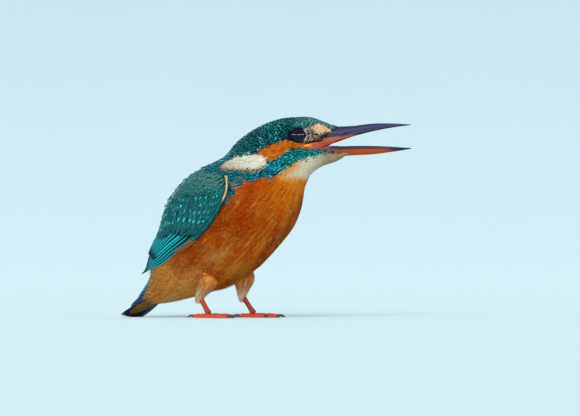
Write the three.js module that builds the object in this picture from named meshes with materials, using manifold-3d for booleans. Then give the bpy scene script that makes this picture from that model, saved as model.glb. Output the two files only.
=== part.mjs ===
// A female common kingfisher, life size, standing on a level floor with her bill open.
//
// Millimetres, +Z up, bill along +X, origin at the middle of the base of the bounding box.
// The bird is first drawn straight: head, trunk and tail share the upright plane y = 0, the
// right side is at -Y, and the floor is z = 0. Then everything behind the neck is turned about
// an upright axis through the neck, so that the breast and the right side come forward.

import * as THREE from "three";
import { mergeVertices } from "three/addons/utils/BufferGeometryUtils.js";
import Module from "manifold-3d";

const wasm = await Module();
wasm.setup();

// ---------------------------------------------------------------- driving dimensions

const GAP = 0.3; // clearance between two pieces that meet
const NECK_X = 21; // where the upright axis of the turned trunk stands
const TRUNK_TURN = THREE.MathUtils.degToRad(22);
const TURN_STARTS = 4.2; // the section of the neck at which the turn begins
const TURN_ENDS = 7.6; // and the one from which the whole trunk is turned

// Cross-sections of the feathered body, from the face to the tail coverts. Each has its point
// on the crown or back, its point on the throat or belly, its half width, how much wider the
// upper half is than the lower one, and how full its corners are (2 is an ellipse).
const SECTIONS = [
  { back: [44.2, 94.1], belly: [50.4, 79.8], half: 4.6, high: 0, full: 2.2 }, // face
  { back: [40, 95.9], belly: [45.1, 76], half: 7, high: 0.05, full: 2.2 }, // lores
  { back: [34.8, 97.6], belly: [39.3, 73.6], half: 9, high: 0.08, full: 2.2 }, // brow
  { back: [28.6, 97.9], belly: [34.8, 70.2], half: 10.3, high: 0.08, full: 2.2 }, // eyes
  { back: [19.2, 96.9], belly: [32.6, 66.3], half: 11.3, high: 0.06, full: 2.2 }, // ears
  { back: [8.9, 93], belly: [31.4, 62.9], half: 12.5, high: 0.02, full: 2.15 }, // hind crown
  { back: [-1.2, 86.4], belly: [30.7, 58.5], half: 14.2, high: 0, full: 2.1 }, // nape
  { back: [-9.1, 78.8], belly: [29.2, 52.6], half: 16.6, high: 0, full: 2.1 }, // neck base
  { back: [-20.9, 73.4], belly: [25.2, 43.9], half: 18.5, high: 0, full: 2.1 }, // shoulders
  { back: [-31.2, 66.7], belly: [17.3, 34.5], half: 19.4, high: 0, full: 2.1 }, // breast
  { back: [-38.6, 57.1], belly: [7.1, 24.6], half: 19.4, high: 0, full: 2.1 }, // fore belly
  { back: [-41.9, 45.8], belly: [-5.3, 17.1], half: 18, high: 0, full: 2.1 }, // belly
  { back: [-45.2, 36.9], belly: [-18.1, 12.4], half: 15.2, high: 0, full: 2.1 }, // thighs
  { back: [-46.8, 28.4], belly: [-29.8, 9.4], half: 11.8, high: 0, full: 2.1 }, // vent
  { back: [-48.4, 20.4], belly: [-39.6, 7.4], half: 8.6, high: 0, full: 2.1 }, // tail root
  { back: [-53.0, 12.8], belly: [-49, 6.4], half: 6.2, high: 0, full: 2.1 }, // coverts
];
const FACE_SWEEP = 7; // how far the feathers beside the gape lie behind those on the bill
const HEAD_CUT = 5.3; // sections at which head, neck and trunk part
const TRUNK_CUT = 7;

const BILL_TIP_X = 83.3;
const BILL_ROOT_X = 36; // inside the head
// Heights of the bill's edges from root to tip, at even steps along it.
const CULMEN = [92.4, 93.2, 93.6, 94.7, 94.8, 94.3];
const UPPER_TOMIUM = [83.2, 85.0, 88.3, 90.8, 92.7, 94.0];
const LOWER_TOMIUM = [82.4, 83.5, 83.9, 83.9, 83.5, 82.8];
const GONYS = [75.6, 77.3, 78.6, 79.5, 80.7, 82.3];
const BILL_HALF_WIDTH = [4.9, 4.5, 3.5, 2.55, 1.6, 0.35];

const EYE = { x: 28.2, z: 88.8, y: 7.1, radius: 4.5 };

// The folded wing lies on the flank like a shell. At even steps from its bend to its tip: where
// its lower and upper edges run, as section numbers and as degrees round from the back, how far
// its middle surface stands off the flank, and half its thickness.
const WING = {
  lowerSection: [7.42, 7.85, 8.6, 9.5, 10.4, 11.3, 12.4, 13.4, 14.3],
  lowerDegrees: [69, 81, 89, 92.5, 90, 82.5, 75, 54, 30],
  upperSection: [7.36, 7.55, 8.1, 8.9, 9.8, 10.8, 11.8, 13.0, 14.2],
  upperDegrees: [65, 50, 39, 34, 34, 32, 33, 30, 26],
  lift: [0.6, 0.8, 0.8, 0.8, 0.8, 0.8, 1.2, 2.6, 5.2],
  halfThickness: [0.5, 0.9, 1.1, 1.1, 0.9, 0.75, 0.6, 0.5, 0.35],
};

const TAIL = {
  root: [-36.0, 18.7], // start of the feathers, inside the coverts
  length: 33.5,
  droop: THREE.MathUtils.degToRad(32.2), // below the level
  roll: THREE.MathUtils.degToRad(-10), // lifts the right edge
  half: [3.6, 4.6, 5.8, 7.2, 8.6, 9.2, 7.4],
  thick: 0.7,
  arch: 1.3, // how much the edges hang below the middle
};

// Each leg: ankle, the place where the toes meet, the thigh's start in the belly, and the way
// that the middle toe points, in degrees to the left of the trunk's own direction.
const LEGS = [
  { side: "right", hip: [-13.5, -8.6, 24], ankle: [-19.2, -9.0, 10.4], foot: [-14.4, -9.4, 2.1], aim: -4 },
  { side: "left", hip: [-4.2, 8.2, 24], ankle: [-4.4, 9.0, 11.0], foot: [1.6, 9.4, 2.1], aim: -12 },
];
const THIGH_RADII = [4.6, 6.4, 6.0, 4.2, 2.1];
const TARSUS_RADII = [1.5, 1.25, 1.15, 1.25, 1.6];
// Toes by number: 1 is the hind one, and 3 and 4 lie side by side. Turn is from the foot's aim.
const TOES = [
  { number: 1, length: 6.4, radius: 1.05, turn: 178, start: 1.9, shift: 0, claw: 3.6 },
  { number: 2, length: 7.6, radius: 1.0, turn: 16, start: 2.0, shift: 1.5, claw: 3.4 },
  { number: 3, length: 11.6, radius: 1.15, turn: 0, start: 2.1, shift: -0.2, claw: 4.0 },
  { number: 4, length: 10.2, radius: 1.1, turn: -6, start: 2.0, shift: -2.7, claw: 3.6 },
];
const TOE_SWELL = [1.0, 1.05, 0.9, 1.0, 0.86, 0.8]; // share of a toe's radius along it
const CLAW_TAPER = [0.62, 0.56, 0.42, 0.28];
const SOLE_CUT = 0.12; // how deep the floor trims a toe into a small flat

const COLOURS = {
  crown: { color: 0x17625c, roughness: 0.6 },
  nape: { color: 0x1d7a70, roughness: 0.6 },
  breast: { color: 0xb9591a, roughness: 0.8 },
  wing: { color: 0x12706a, roughness: 0.55 },
  tail: { color: 0x1c4f78, roughness: 0.55 },
  thigh: { color: 0xc98a4c, roughness: 0.85 },
  upperBill: { color: 0x15171f, roughness: 0.3 },
  lowerBill: { color: 0xc8481c, roughness: 0.35 },
  eye: { color: 0x0a0708, roughness: 0.05 },
  leg: { color: 0xd2431f, roughness: 0.45 },
  claw: { color: 0x1b1a20, roughness: 0.35 },
};

// ---------------------------------------------------------------- curves

/** Reads an evenly spaced row of values at t from 0 to 1, along a Catmull-Rom curve. */
function along(values, t) {
  const points = values.map((v) => new THREE.Vector3(v, 0, 0));
  return new THREE.CatmullRomCurve3(points, false, "catmullrom", 0.5).getPoint(t).x;
}

/** The same for points of the plane y = 0. */
function sideCurve(pairs) {
  const points = pairs.map(([x, z]) => new THREE.Vector3(x, 0, z));
  return new THREE.CatmullRomCurve3(points, false, "catmullrom", 0.5);
}

const backCurve = sideCurve(SECTIONS.map((s) => s.back));
const bellyCurve = sideCurve(SECTIONS.map((s) => s.belly));

/** Turns a point of the straight bird with the trunk, by a share of the whole turn. */
function turned(point, share = 1) {
  const angle = -TRUNK_TURN * share;
  const x = point.x - NECK_X;
  return new THREE.Vector3(
    NECK_X + x * Math.cos(angle) - point.y * Math.sin(angle),
    x * Math.sin(angle) + point.y * Math.cos(angle),
    point.z,
  );
}

/** sin or cos with its corners filled out, as in a superellipse. */
function rounded(value, full) {
  return Math.sign(value) * Math.abs(value) ** (2 / full);
}

// ---------------------------------------------------------------- surfaces

/** A point of the body. t runs from face to tail and angle from the back round the left side. */
function bodyPoint(t, angle, grow = 0) {
  const back = backCurve.getPoint(t);
  const belly = bellyCurve.getPoint(t);
  const middle = back.clone().add(belly).multiplyScalar(0.5);
  const up = back.clone().sub(middle);
  const full = along(SECTIONS.map((s) => s.full), t);
  const high = along(SECTIONS.map((s) => s.high), t);
  const half = along(SECTIONS.map((s) => s.half), t) + grow;
  const rise = rounded(Math.cos(angle), full);
  const reach = rounded(Math.sin(angle), full) * (1 + high * Math.cos(angle));
  const point = middle.addScaledVector(up, rise * (1 + grow / up.length()));
  point.y = half * reach;
  const section = t * (SECTIONS.length - 1);
  const sweep = Math.max(0, 1 - section / 2.4) ** 2 * Math.sin(angle) ** 4;
  point.x -= FACE_SWEEP * sweep;
  return turned(point, THREE.MathUtils.smoothstep(section, TURN_STARTS, TURN_ENDS));
}

/** A point of a wing's middle surface: a from bend to tip, b from lower to upper edge. */
function wingPoint(sideSign, a, b) {
  const share = (b + 1) / 2;
  const section = THREE.MathUtils.lerp(along(WING.lowerSection, a), along(WING.upperSection, a), share);
  const degrees = THREE.MathUtils.lerp(along(WING.lowerDegrees, a), along(WING.upperDegrees, a), share);
  const angle = sideSign * THREE.MathUtils.degToRad(degrees);
  return bodyPoint(section / (SECTIONS.length - 1), angle, along(WING.lift, a));
}

/** A point of the tail's midsurface: a from root to tip, b from right to left edge. */
function tailPoint(a, b) {
  const half = along(TAIL.half, a);
  const across = new THREE.Vector3(0, half * b, -TAIL.arch * b * b);
  across.applyAxisAngle(new THREE.Vector3(1, 0, 0), TAIL.roll);
  const run = a * TAIL.length;
  const drop = new THREE.Vector3(-run, 0, 0).add(across);
  drop.applyAxisAngle(new THREE.Vector3(0, 1, 0), -TAIL.droop);
  return drop.add(new THREE.Vector3(TAIL.root[0], 0, TAIL.root[1]));
}

// ---------------------------------------------------------------- solids

/** A closed geometry as a manifold solid, with its faces pointing outwards. */
function solidOf(geometry) {
  geometry.deleteAttribute("normal");
  geometry.deleteAttribute("uv");
  const merged = mergeVertices(geometry, 1e-4);
  const triVerts = new Uint32Array(merged.index.array);
  const make = () =>
    new wasm.Manifold(
      new wasm.Mesh({ numProp: 3, vertProperties: merged.attributes.position.array, triVerts }),
    );
  const made = make();
  if (made.volume() > 0) return made;
  for (let i = 0; i < triVerts.length; i += 3) {
    [triVerts[i + 1], triVerts[i + 2]] = [triVerts[i + 2], triVerts[i + 1]];
  }
  return make();
}

/**
 * A closed surface over a sphere's grid. place(t, angle) gives each point: t is 0 and 1 at the
 * two poles, where it must not depend on the angle.
 */
function lofted(rows, columns, place) {
  const geometry = new THREE.SphereGeometry(1, columns, rows);
  const { position, uv } = geometry.attributes;
  for (let i = 0; i < position.count; i += 1) {
    const point = place(1 - uv.getY(i), uv.getX(i) * 2 * Math.PI);
    position.setXYZ(i, point.x, point.y, point.z);
  }
  return solidOf(geometry);
}

/** Spreads the rows between the poles over the whole length, so that each pole closes a flat end. */
function flatEnded(rows, place, centre) {
  return (t, angle) => {
    const row = Math.round(t * rows);
    if (row === 0) return centre(0);
    if (row === rows) return centre(1);
    return place((row - 1) / (rows - 2), angle);
  };
}

function body(grow) {
  const rows = 36;
  const centre = (t) => {
    const share = t * (SECTIONS.length - 1);
    const middle = backCurve.getPoint(t).add(bellyCurve.getPoint(t)).multiplyScalar(0.5);
    middle.x -= t === 0 ? FACE_SWEEP : 0;
    return turned(middle, THREE.MathUtils.smoothstep(share, TURN_STARTS, TURN_ENDS));
  };
  return lofted(rows, 28, flatEnded(rows, (t, angle) => bodyPoint(t, angle, grow), centre));
}

/** A lens-shaped plate about a midsurface, thick in the middle and thin at its edges. */
function plate(rows, columns, middle, thickness, grow) {
  const reach = (t) => 0.002 + 0.996 * t;
  return lofted(rows, columns, (t, angle) => {
    const a = reach(t);
    const b = Math.cos(angle);
    const step = 1e-3;
    const point = middle(a, b);
    const alongWay = middle(Math.min(a + step, 1), b).sub(middle(Math.max(a - step, 0), b));
    const acrossWay = middle(a, b + step).sub(middle(a, b - step));
    const normal = alongWay.cross(acrossWay).normalize();
    const end = Math.min(1, 6 * Math.min(t, 1 - t));
    const side = rounded(Math.sin(angle), 2.6) * (thickness(a) + grow) * end;
    const out = acrossWay.normalize().multiplyScalar(grow * b * end);
    const pole = t === 0 || t === 1;
    return pole ? middle(a, 0) : point.addScaledVector(normal, side).add(out);
  });
}

function wing(sideSign, grow) {
  const middle = (a, b) => wingPoint(sideSign, a, b);
  return plate(20, 16, middle, (a) => along(WING.halfThickness, a), grow);
}

/** The trunk's turn for manifold-3d's warp, which hands over each vertex as an array. */
function turn(v) {
  const point = turned(new THREE.Vector3(v[0], v[1], v[2]));
  v[0] = point.x;
  v[1] = point.y;
  v[2] = point.z;
}

/** A round limb: radii at even steps along a curve, with flat ends. */
function limb(points, radii, columns, grow) {
  const curve = smoothPath(points);
  const rows = radii.length + 4;
  const level = new THREE.Vector3(0, 1, 0);
  return lofted(rows, columns, (t, angle) => {
    const reach = THREE.MathUtils.clamp((t * rows - 1) / (rows - 2), 0, 1);
    const way = curve.getTangent(reach);
    const point = curve.getPoint(reach);
    if (reach === 0 || reach === 1) point.addScaledVector(way, grow * (reach < 0.5 ? -1 : 1));
    if (t === 0 || t === 1) return point;
    const over = new THREE.Vector3().crossVectors(way, level).normalize();
    const across = new THREE.Vector3().crossVectors(over, way).normalize();
    const radius = along(radii, reach) + grow;
    point.addScaledVector(across, radius * Math.cos(angle));
    return point.addScaledVector(over, radius * Math.sin(angle));
  }).warp(turn);
}

const vector = ([x, y, z]) => new THREE.Vector3(x, y, z);
const smoothPath = (points) => new THREE.CatmullRomCurve3(points, false, "catmullrom", 0.5);

/** One half of the bill: a dagger with a ridge on its outer edge and a wide inner edge. */
function mandible(outer, inner, grow) {
  const rows = 16;
  return lofted(rows, 12, (t, angle) => {
    const reach = THREE.MathUtils.clamp((t * rows - 1) / (rows - 1), 0, 1);
    const away = Math.sign(along(outer, reach) - along(inner, reach));
    const top = along(outer, reach) + away * grow;
    const bottom = along(inner, reach) - away * grow;
    const width = along(BILL_HALF_WIDTH, reach) + grow;
    const x = THREE.MathUtils.lerp(BILL_ROOT_X - grow, BILL_TIP_X, reach);
    if (t === 0 || t === 1) return new THREE.Vector3(x, 0, (top + bottom) / 2);
    const share = (1 + rounded(Math.cos(angle), 2.2)) / 2; // 1 on the ridge, 0 on the edge
    const narrow = 1 - 0.45 * share;
    return new THREE.Vector3(
      x,
      width * narrow * rounded(Math.sin(angle), 2.4),
      THREE.MathUtils.lerp(bottom, top, share),
    );
  });
}

function eyeball(sideSign, grow) {
  const geometry = new THREE.SphereGeometry(EYE.radius + grow, 16, 10);
  geometry.translate(EYE.x, sideSign * EYE.y, EYE.z);
  return solidOf(geometry);
}

function thigh(leg, grow) {
  const hip = vector(leg.hip);
  const ankle = vector(leg.ankle);
  const knee = hip.clone().lerp(ankle, 0.5).add(new THREE.Vector3(0.8, 0, 0.6));
  return limb([hip, knee, ankle], THIGH_RADII, 14, grow);
}

function tarsus(leg, grow) {
  return limb([vector(leg.ankle), vector(leg.foot)], TARSUS_RADII, 10, grow);
}

/** The level line that a toe follows from the foot, and its level direction. */
function toeLine(leg, each) {
  const mirrored = leg.side === "right" ? 1 : -1;
  const aim = THREE.MathUtils.degToRad(leg.aim);
  const heading = aim + THREE.MathUtils.degToRad(each.turn * mirrored);
  const way = new THREE.Vector3(Math.cos(heading), Math.sin(heading), 0);
  const across = new THREE.Vector3(-Math.sin(aim), Math.cos(aim), 0);
  const start = vector(leg.foot).addScaledVector(way, each.start);
  start.addScaledVector(across, each.shift * mirrored);
  start.z = each.radius - SOLE_CUT;
  return { start, way };
}

function toe(leg, each, grow) {
  const { start, way } = toeLine(leg, each);
  const radii = TOE_SWELL.map((r) => r * each.radius);
  const steps = radii.map((radius, i) => {
    const step = start.clone().addScaledVector(way, (each.length * i) / (radii.length - 1));
    step.z = radius - SOLE_CUT;
    return step;
  });
  return limb(steps, radii, 10, grow);
}

function claw(leg, each) {
  const { start, way } = toeLine(leg, each);
  const base = start.clone().addScaledVector(way, each.length + GAP);
  const arch = base.clone().addScaledVector(way, each.claw * 0.5);
  arch.z += 0.25;
  const tip = base.clone().addScaledVector(way, each.claw);
  tip.z = 0.45;
  const radii = CLAW_TAPER.map((r) => r * each.radius);
  return limb([base, arch, tip], radii, 8, 0);
}

/** Cuts a solid along a section of the body and keeps the part ahead of it or behind it. */
function parted(solid, section, ahead) {
  const t = section / (SECTIONS.length - 1);
  const back = bodyPoint(t, 0);
  const belly = bodyPoint(t, Math.PI);
  const left = bodyPoint(t, Math.PI / 2);
  const normal = back.clone().sub(belly).cross(left.clone().sub(belly)).normalize();
  const forward = normal.x > 0 ? 1 : -1;
  const keep = normal.multiplyScalar(ahead ? forward : -forward);
  return solid.trimByPlane([keep.x, keep.y, keep.z], keep.dot(belly) + GAP / 2);
}

/** Trims a solid to the floor, so that it stands on a small flat. */
function onFloor(solid) {
  return solid.trimByPlane([0, 0, 1], 0);
}

// ---------------------------------------------------------------- the bird

const bird = new THREE.Group();

function add(name, solid, look) {
  const made = solid.getMesh();
  const geometry = new THREE.BufferGeometry();
  const places = new Float32Array(made.numVert * 3);
  for (let i = 0; i < made.numVert; i += 1) {
    places.set(made.vertProperties.subarray(i * made.numProp, i * made.numProp + 3), i * 3);
  }
  geometry.setAttribute("position", new THREE.BufferAttribute(places, 3));
  geometry.setIndex(new THREE.BufferAttribute(made.triVerts, 1));
  geometry.computeVertexNormals();
  const mesh = new THREE.Mesh(geometry, new THREE.MeshStandardMaterial({ metalness: 0, ...look }));
  mesh.name = name;
  bird.add(mesh);
}

/** The largest body of a solid: cuts can leave crumbs, which are dropped. */
function largest(solid) {
  return solid.decompose().sort((a, b) => b.volume() - a.volume())[0];
}

const SIDES = [
  { side: "right", sign: -1 },
  { side: "left", sign: 1 },
];

const tailPlate = (grow) => plate(14, 14, tailPoint, () => TAIL.thick, grow).warp(turn);
const grownBody = body(GAP);
let flesh = body(0)
  .subtract(mandible(CULMEN, UPPER_TOMIUM, GAP))
  .subtract(mandible(GONYS, LOWER_TOMIUM, GAP))
  .subtract(tailPlate(GAP));
for (const { sign } of SIDES) {
  flesh = flesh.subtract(wing(sign, GAP)).subtract(eyeball(sign, GAP));
}

add("head", largest(parted(flesh, HEAD_CUT, true)), COLOURS.crown);
add("neck", largest(parted(parted(flesh, HEAD_CUT, false), TRUNK_CUT, true)), COLOURS.nape);
add("trunk", largest(parted(flesh, TRUNK_CUT, false)), COLOURS.breast);
add("upper_mandible", mandible(CULMEN, UPPER_TOMIUM, 0), COLOURS.upperBill);
add("lower_mandible", mandible(GONYS, LOWER_TOMIUM, 0), COLOURS.lowerBill);
add("tail", largest(onFloor(tailPlate(0))), COLOURS.tail);

for (const { side, sign } of SIDES) {
  add(`eye_${side}`, eyeball(sign, 0), COLOURS.eye);
  add(`wing_${side}`, wing(sign, 0), COLOURS.wing);
}

for (const leg of LEGS) {
  const shank = tarsus(leg, 0).subtract(thigh(leg, GAP));
  let taken = tarsus(leg, GAP);
  add(`thigh_${leg.side}`, largest(thigh(leg, 0).subtract(grownBody)), COLOURS.thigh);
  add(`tarsus_${leg.side}`, largest(onFloor(shank)), COLOURS.leg);
  for (const each of TOES) {
    const free = onFloor(toe(leg, each, 0)).subtract(taken);
    taken = taken.add(toe(leg, each, GAP));
    add(`toe_${each.number}_${leg.side}`, largest(free), COLOURS.leg);
    add(`claw_${each.number}_${leg.side}`, claw(leg, each), COLOURS.claw);
  }
}

bird.updateMatrixWorld(true);
const box = new THREE.Box3().setFromObject(bird);
bird.position.set(-(box.min.x + box.max.x) / 2, -(box.min.y + box.max.y) / 2, -box.min.z);

export default bird;
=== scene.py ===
"""A life-size female common kingfisher, standing on the floor with her bill open.

The bird is first worked out in millimetres in the same frame as her solids: bill along +X, the
upright plane of the head at y = 0, her right side at -Y and the floor at z = 0. placed() then moves
every point into the model's frame, in metres. A place on the feathered body is a section number,
from 0 at the face to 15 at the tail coverts, and degrees round from the back, positive to the left.
A place on a folded wing is (a, b): a from bend to tip, b from -1 on the lower edge to 1 on the upper.
"""

import bpy
import numpy as np
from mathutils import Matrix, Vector


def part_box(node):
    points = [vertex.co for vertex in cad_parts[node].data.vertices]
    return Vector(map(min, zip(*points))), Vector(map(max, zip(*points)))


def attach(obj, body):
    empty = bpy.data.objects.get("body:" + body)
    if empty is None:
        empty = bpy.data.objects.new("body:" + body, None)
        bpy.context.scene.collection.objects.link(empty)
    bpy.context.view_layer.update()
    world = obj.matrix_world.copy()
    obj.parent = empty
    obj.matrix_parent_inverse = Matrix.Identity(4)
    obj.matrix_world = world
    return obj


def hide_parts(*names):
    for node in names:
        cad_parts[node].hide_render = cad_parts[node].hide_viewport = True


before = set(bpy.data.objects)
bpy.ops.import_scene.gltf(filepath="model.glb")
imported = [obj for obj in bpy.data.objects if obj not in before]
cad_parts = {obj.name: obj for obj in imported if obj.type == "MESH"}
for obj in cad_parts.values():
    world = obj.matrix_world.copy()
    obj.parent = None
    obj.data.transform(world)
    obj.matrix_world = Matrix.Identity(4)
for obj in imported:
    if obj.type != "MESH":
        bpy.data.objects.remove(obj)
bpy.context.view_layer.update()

SIDES = {"right": -1, "left": 1}

# ---------------------------------------------------------------- driving dimensions, in mm

MM = 0.001
NECK_X = 21
TRUNK_TURN = np.radians(22)
TURN_STARTS, TURN_ENDS = 4.2, 7.6
FACE_SWEEP = 7
SKIN_VOXEL, FOOT_VOXEL = 0.6, 0.17
SKIN_SEED = 20
THROAT_END = np.array([36.0, 0.0, 85.0])  # where the mouth's funnel closes

# Cross-sections of the body: point on the back (x, z), point on the belly (x, z), half width,
# how much wider the upper half is than the lower one, and how full the corners are.
SECTIONS = np.array([
    (44.2, 94.1, 50.4, 79.8, 4.6, 0, 2.2),  # face
    (40, 95.9, 45.1, 76, 7, 0.05, 2.2),  # lores
    (34.8, 97.6, 39.3, 73.6, 9, 0.08, 2.2),  # brow
    (28.6, 97.9, 34.8, 70.2, 10.3, 0.08, 2.2),  # eyes
    (19.2, 96.9, 32.6, 66.3, 11.3, 0.06, 2.2),  # ears
    (8.9, 93, 31.4, 62.9, 12.5, 0.02, 2.15),  # hind crown
    (-1.2, 86.4, 30.7, 58.5, 14.2, 0, 2.1),  # nape
    (-9.1, 78.8, 29.2, 52.6, 16.6, 0, 2.1),  # neck base
    (-20.9, 73.4, 25.2, 43.9, 18.5, 0, 2.1),  # shoulders
    (-31.2, 66.7, 17.3, 34.5, 19.4, 0, 2.1),  # breast
    (-38.6, 57.1, 7.1, 24.6, 19.4, 0, 2.1),  # fore belly
    (-41.9, 45.8, -5.3, 17.1, 18, 0, 2.1),  # belly
    (-45.2, 36.9, -18.1, 12.4, 15.2, 0, 2.1),  # thighs
    (-46.8, 28.4, -29.8, 9.4, 11.8, 0, 2.1),  # vent
    (-48.4, 20.4, -39.6, 7.4, 8.6, 0, 2.1),  # tail root
    (-53, 12.8, -49, 6.4, 6.2, 0, 2.1),  # coverts
])
LAST = len(SECTIONS) - 1

BILL_TIP_X, BILL_ROOT_X = 83.3, 36
CULMEN = [92.4, 93.2, 93.6, 94.7, 94.8, 94.3]
UPPER_TOMIUM = [83.2, 85.0, 88.3, 90.8, 92.7, 94.0]
LOWER_TOMIUM = [82.4, 83.5, 83.9, 83.9, 83.5, 82.8]
GONYS = [76.4, 78.3, 79.2, 79.7, 80.9, 82.4]
BILL_HALF_WIDTH = [4.9, 4.5, 3.5, 2.55, 1.6, 0.35]

EYE = {"x": 28.2, "y": 7.1, "z": 88.8, "radius": 4.5}

WING_LOWER = np.array([
    (7.42, 69), (7.85, 81), (8.6, 89), (9.5, 92.5), (10.4, 90), (11.3, 82.5), (12.4, 75), (13.4, 54),
    (14.3, 30),
])
WING_UPPER = np.array([
    (7.36, 65), (7.55, 50), (8.1, 39), (8.9, 34), (9.8, 34), (10.8, 32), (11.8, 33), (13, 30), (14.2, 26),
])
WING_LIFT = [0.6, 0.8, 0.8, 0.8, 0.8, 0.8, 1.2, 2.6, 5.2]
WING_HALF_THICK = [0.5, 0.9, 1.1, 1.1, 0.9, 0.75, 0.6, 0.5, 0.35]

TAIL = {
    "root": (-36.0, 18.7),
    "length": 33.5,
    "droop": np.radians(32.2),
    "roll": np.radians(-10),
    "half": [3.6, 4.6, 5.8, 7.2, 8.6, 9.2, 7.4],
    "arch": 1.3,
}

LEGS = {
    "right": {"hip": (-13.5, -8.6, 24), "ankle": (-19.2, -9.0, 10.4), "foot": (-14.4, -9.4, 2.1), "aim": -4},
    "left": {"hip": (-4.2, 8.2, 24), "ankle": (-4.4, 9.0, 11.0), "foot": (1.6, 9.4, 2.1), "aim": -12},
}
FLUFF_RADII = [4.6, 6.2, 5.0, 3.0, 1.7]
TARSUS_RADII = [1.5, 1.25, 1.15, 1.25, 1.6]
TOES = {  # length, radius, turn, start, shift, claw
    1: (6.4, 1.05, 178, 1.9, 0, 3.6),
    2: (7.6, 1.0, 16, 2.0, 1.5, 3.4),
    3: (11.6, 1.15, 0, 2.1, -0.2, 4.0),
    4: (10.2, 1.1, -6, 2.0, -2.7, 3.6),
}
TOE_SWELL = [1.0, 1.05, 0.9, 1.0, 0.86, 0.8]
SOLE_CUT = 0.12

low_bill, high_bill = (np.array(corner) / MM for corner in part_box("upper_mandible"))
SHIFT = np.array([high_bill[0] - BILL_TIP_X, (low_bill[1] + high_bill[1]) / 2, 0.0])


def placed(points):
    """Moves points from the drawing's millimetres into the model's frame, in metres."""
    return (points + SHIFT) * MM


# ---------------------------------------------------------------- curves


def unit(vectors):
    """Each vector divided by its length."""
    return vectors / np.maximum(np.linalg.norm(vectors, axis=-1, keepdims=True), 1e-12)


def smooth(value, low, high):
    """0 below low, 1 above high, and the cubic 3t^2 - 2t^3 between them."""
    t = np.clip((np.asarray(value, float) - low) / (high - low), 0, 1)
    return t * t * (3 - 2 * t)


def lerp(a, b, share):
    """The way from a to b at that share, with colours along the last axis."""
    a, b, share = np.asarray(a, float), np.asarray(b, float), np.asarray(share, float)
    if max(a.ndim, b.ndim) and (a.shape[-1:] == (3,) or b.shape[-1:] == (3,)):
        share = share[..., None]
    return a + (b - a) * share


def layered(ground, *layers):
    """Colours laid over the ground one after another, each given with its share."""
    for colour, share in layers:
        ground = lerp(ground, colour, share)
    return ground


def along(values, t):
    """Evenly spaced values, or rows of them, read at t from 0 to 1 on a Catmull-Rom curve."""
    values = np.asarray(values, float)
    count = len(values)
    t = np.clip(np.asarray(t, float), 0, 1) * (count - 1)
    i = np.minimum(t.astype(int), count - 2)
    w = t - i
    if values.ndim > 1:
        w = w[..., None]
    padded = np.concatenate([2 * values[:1] - values[1:2], values, 2 * values[-1:] - values[-2:-1]])
    before, here, there, after = (padded[i + k] for k in range(4))
    slope_here, slope_there = (there - before) / 2, (after - here) / 2
    return (
        (2 * w**3 - 3 * w**2 + 1) * here
        + (w**3 - 2 * w**2 + w) * slope_here
        + (3 * w**2 - 2 * w**3) * there
        + (w**3 - w**2) * slope_there
    )


def full_turn(count):
    """That many even angles round a circle."""
    return np.linspace(0, 2 * np.pi, count, endpoint=False)


def grid(down, over):
    """The two parameters of a surface, each spread over a grid of rows by columns."""
    return np.meshgrid(down, over, indexing="ij")


def bell(value, middle, spread):
    """1 at the middle, falling to 1/e a spread away."""
    return np.exp(-(((value - middle) / spread) ** 2))


def rounded(value, full):
    """sin or cos with its corners filled out, as in a superellipse."""
    return np.sign(value) * np.abs(value) ** (2 / full)


def turned(points, share=1.0):
    """Turns points of the straight bird about the neck's upright axis, by a share of the whole turn."""
    angle = -TRUNK_TURN * np.asarray(share, float)
    x = points[..., 0] - NECK_X
    y = points[..., 1]
    return np.stack([
        NECK_X + x * np.cos(angle) - y * np.sin(angle),
        x * np.sin(angle) + y * np.cos(angle),
        points[..., 2],
    ], -1)


# ---------------------------------------------------------------- the bird's own surfaces


def body_point(section, degrees, grow=0.0):
    """Superellipse of the section, its top on the back curve and its foot on the belly curve.

    From the middle, the point rises by the half height times rounded cosine and goes sideways by the
    half width times rounded sine. grow moves it outwards. The face's sides are swept back, and
    everything behind the neck is turned.
    """
    section, degrees, grow = np.broadcast_arrays(*(np.asarray(v, float) for v in (section, degrees, grow)))
    row = along(SECTIONS, section / LAST)
    back, belly = row[..., 0:2], row[..., 2:4]
    half, high, full = row[..., 4] + grow, row[..., 5], row[..., 6]
    middle = (back + belly) / 2
    up = back - middle
    angle = np.radians(degrees)
    rise = rounded(np.cos(angle), full) * (1 + grow / np.linalg.norm(up, axis=-1))
    reach = rounded(np.sin(angle), full) * (1 + high * np.cos(angle))
    side = middle + up * rise[..., None]
    swept = FACE_SWEEP * np.maximum(0, 1 - section / 2.4) ** 2 * np.sin(angle) ** 4
    straight = np.stack([side[..., 0] - swept, half * reach, side[..., 1]], -1)
    return turned(straight, smooth(section, TURN_STARTS, TURN_ENDS))


def wing_point(sign, a, b, out=0.0):
    """A point of the folded wing, out times its half thickness off its middle surface.

    The section and the degrees are those of the wing's lower and upper edges at a, mixed by b; the
    body's surface there is grown by the wing's lift.
    """
    share = (np.asarray(b, float) + 1) / 2
    edge = lerp_rows(along(WING_LOWER, a), along(WING_UPPER, a), share)
    ends = np.minimum(1, 6 * np.minimum(a, 1 - a))
    lens = np.maximum(1 - np.asarray(b, float) ** 2, 0) ** 0.385 * along(WING_HALF_THICK, a) * ends
    return body_point(edge[..., 0], sign * edge[..., 1], along(WING_LIFT, a) + out * lens)


def lerp_rows(a, b, share):
    """The way from rows a to rows b at that share."""
    return a + (b - a) * np.asarray(share)[..., None]


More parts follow.
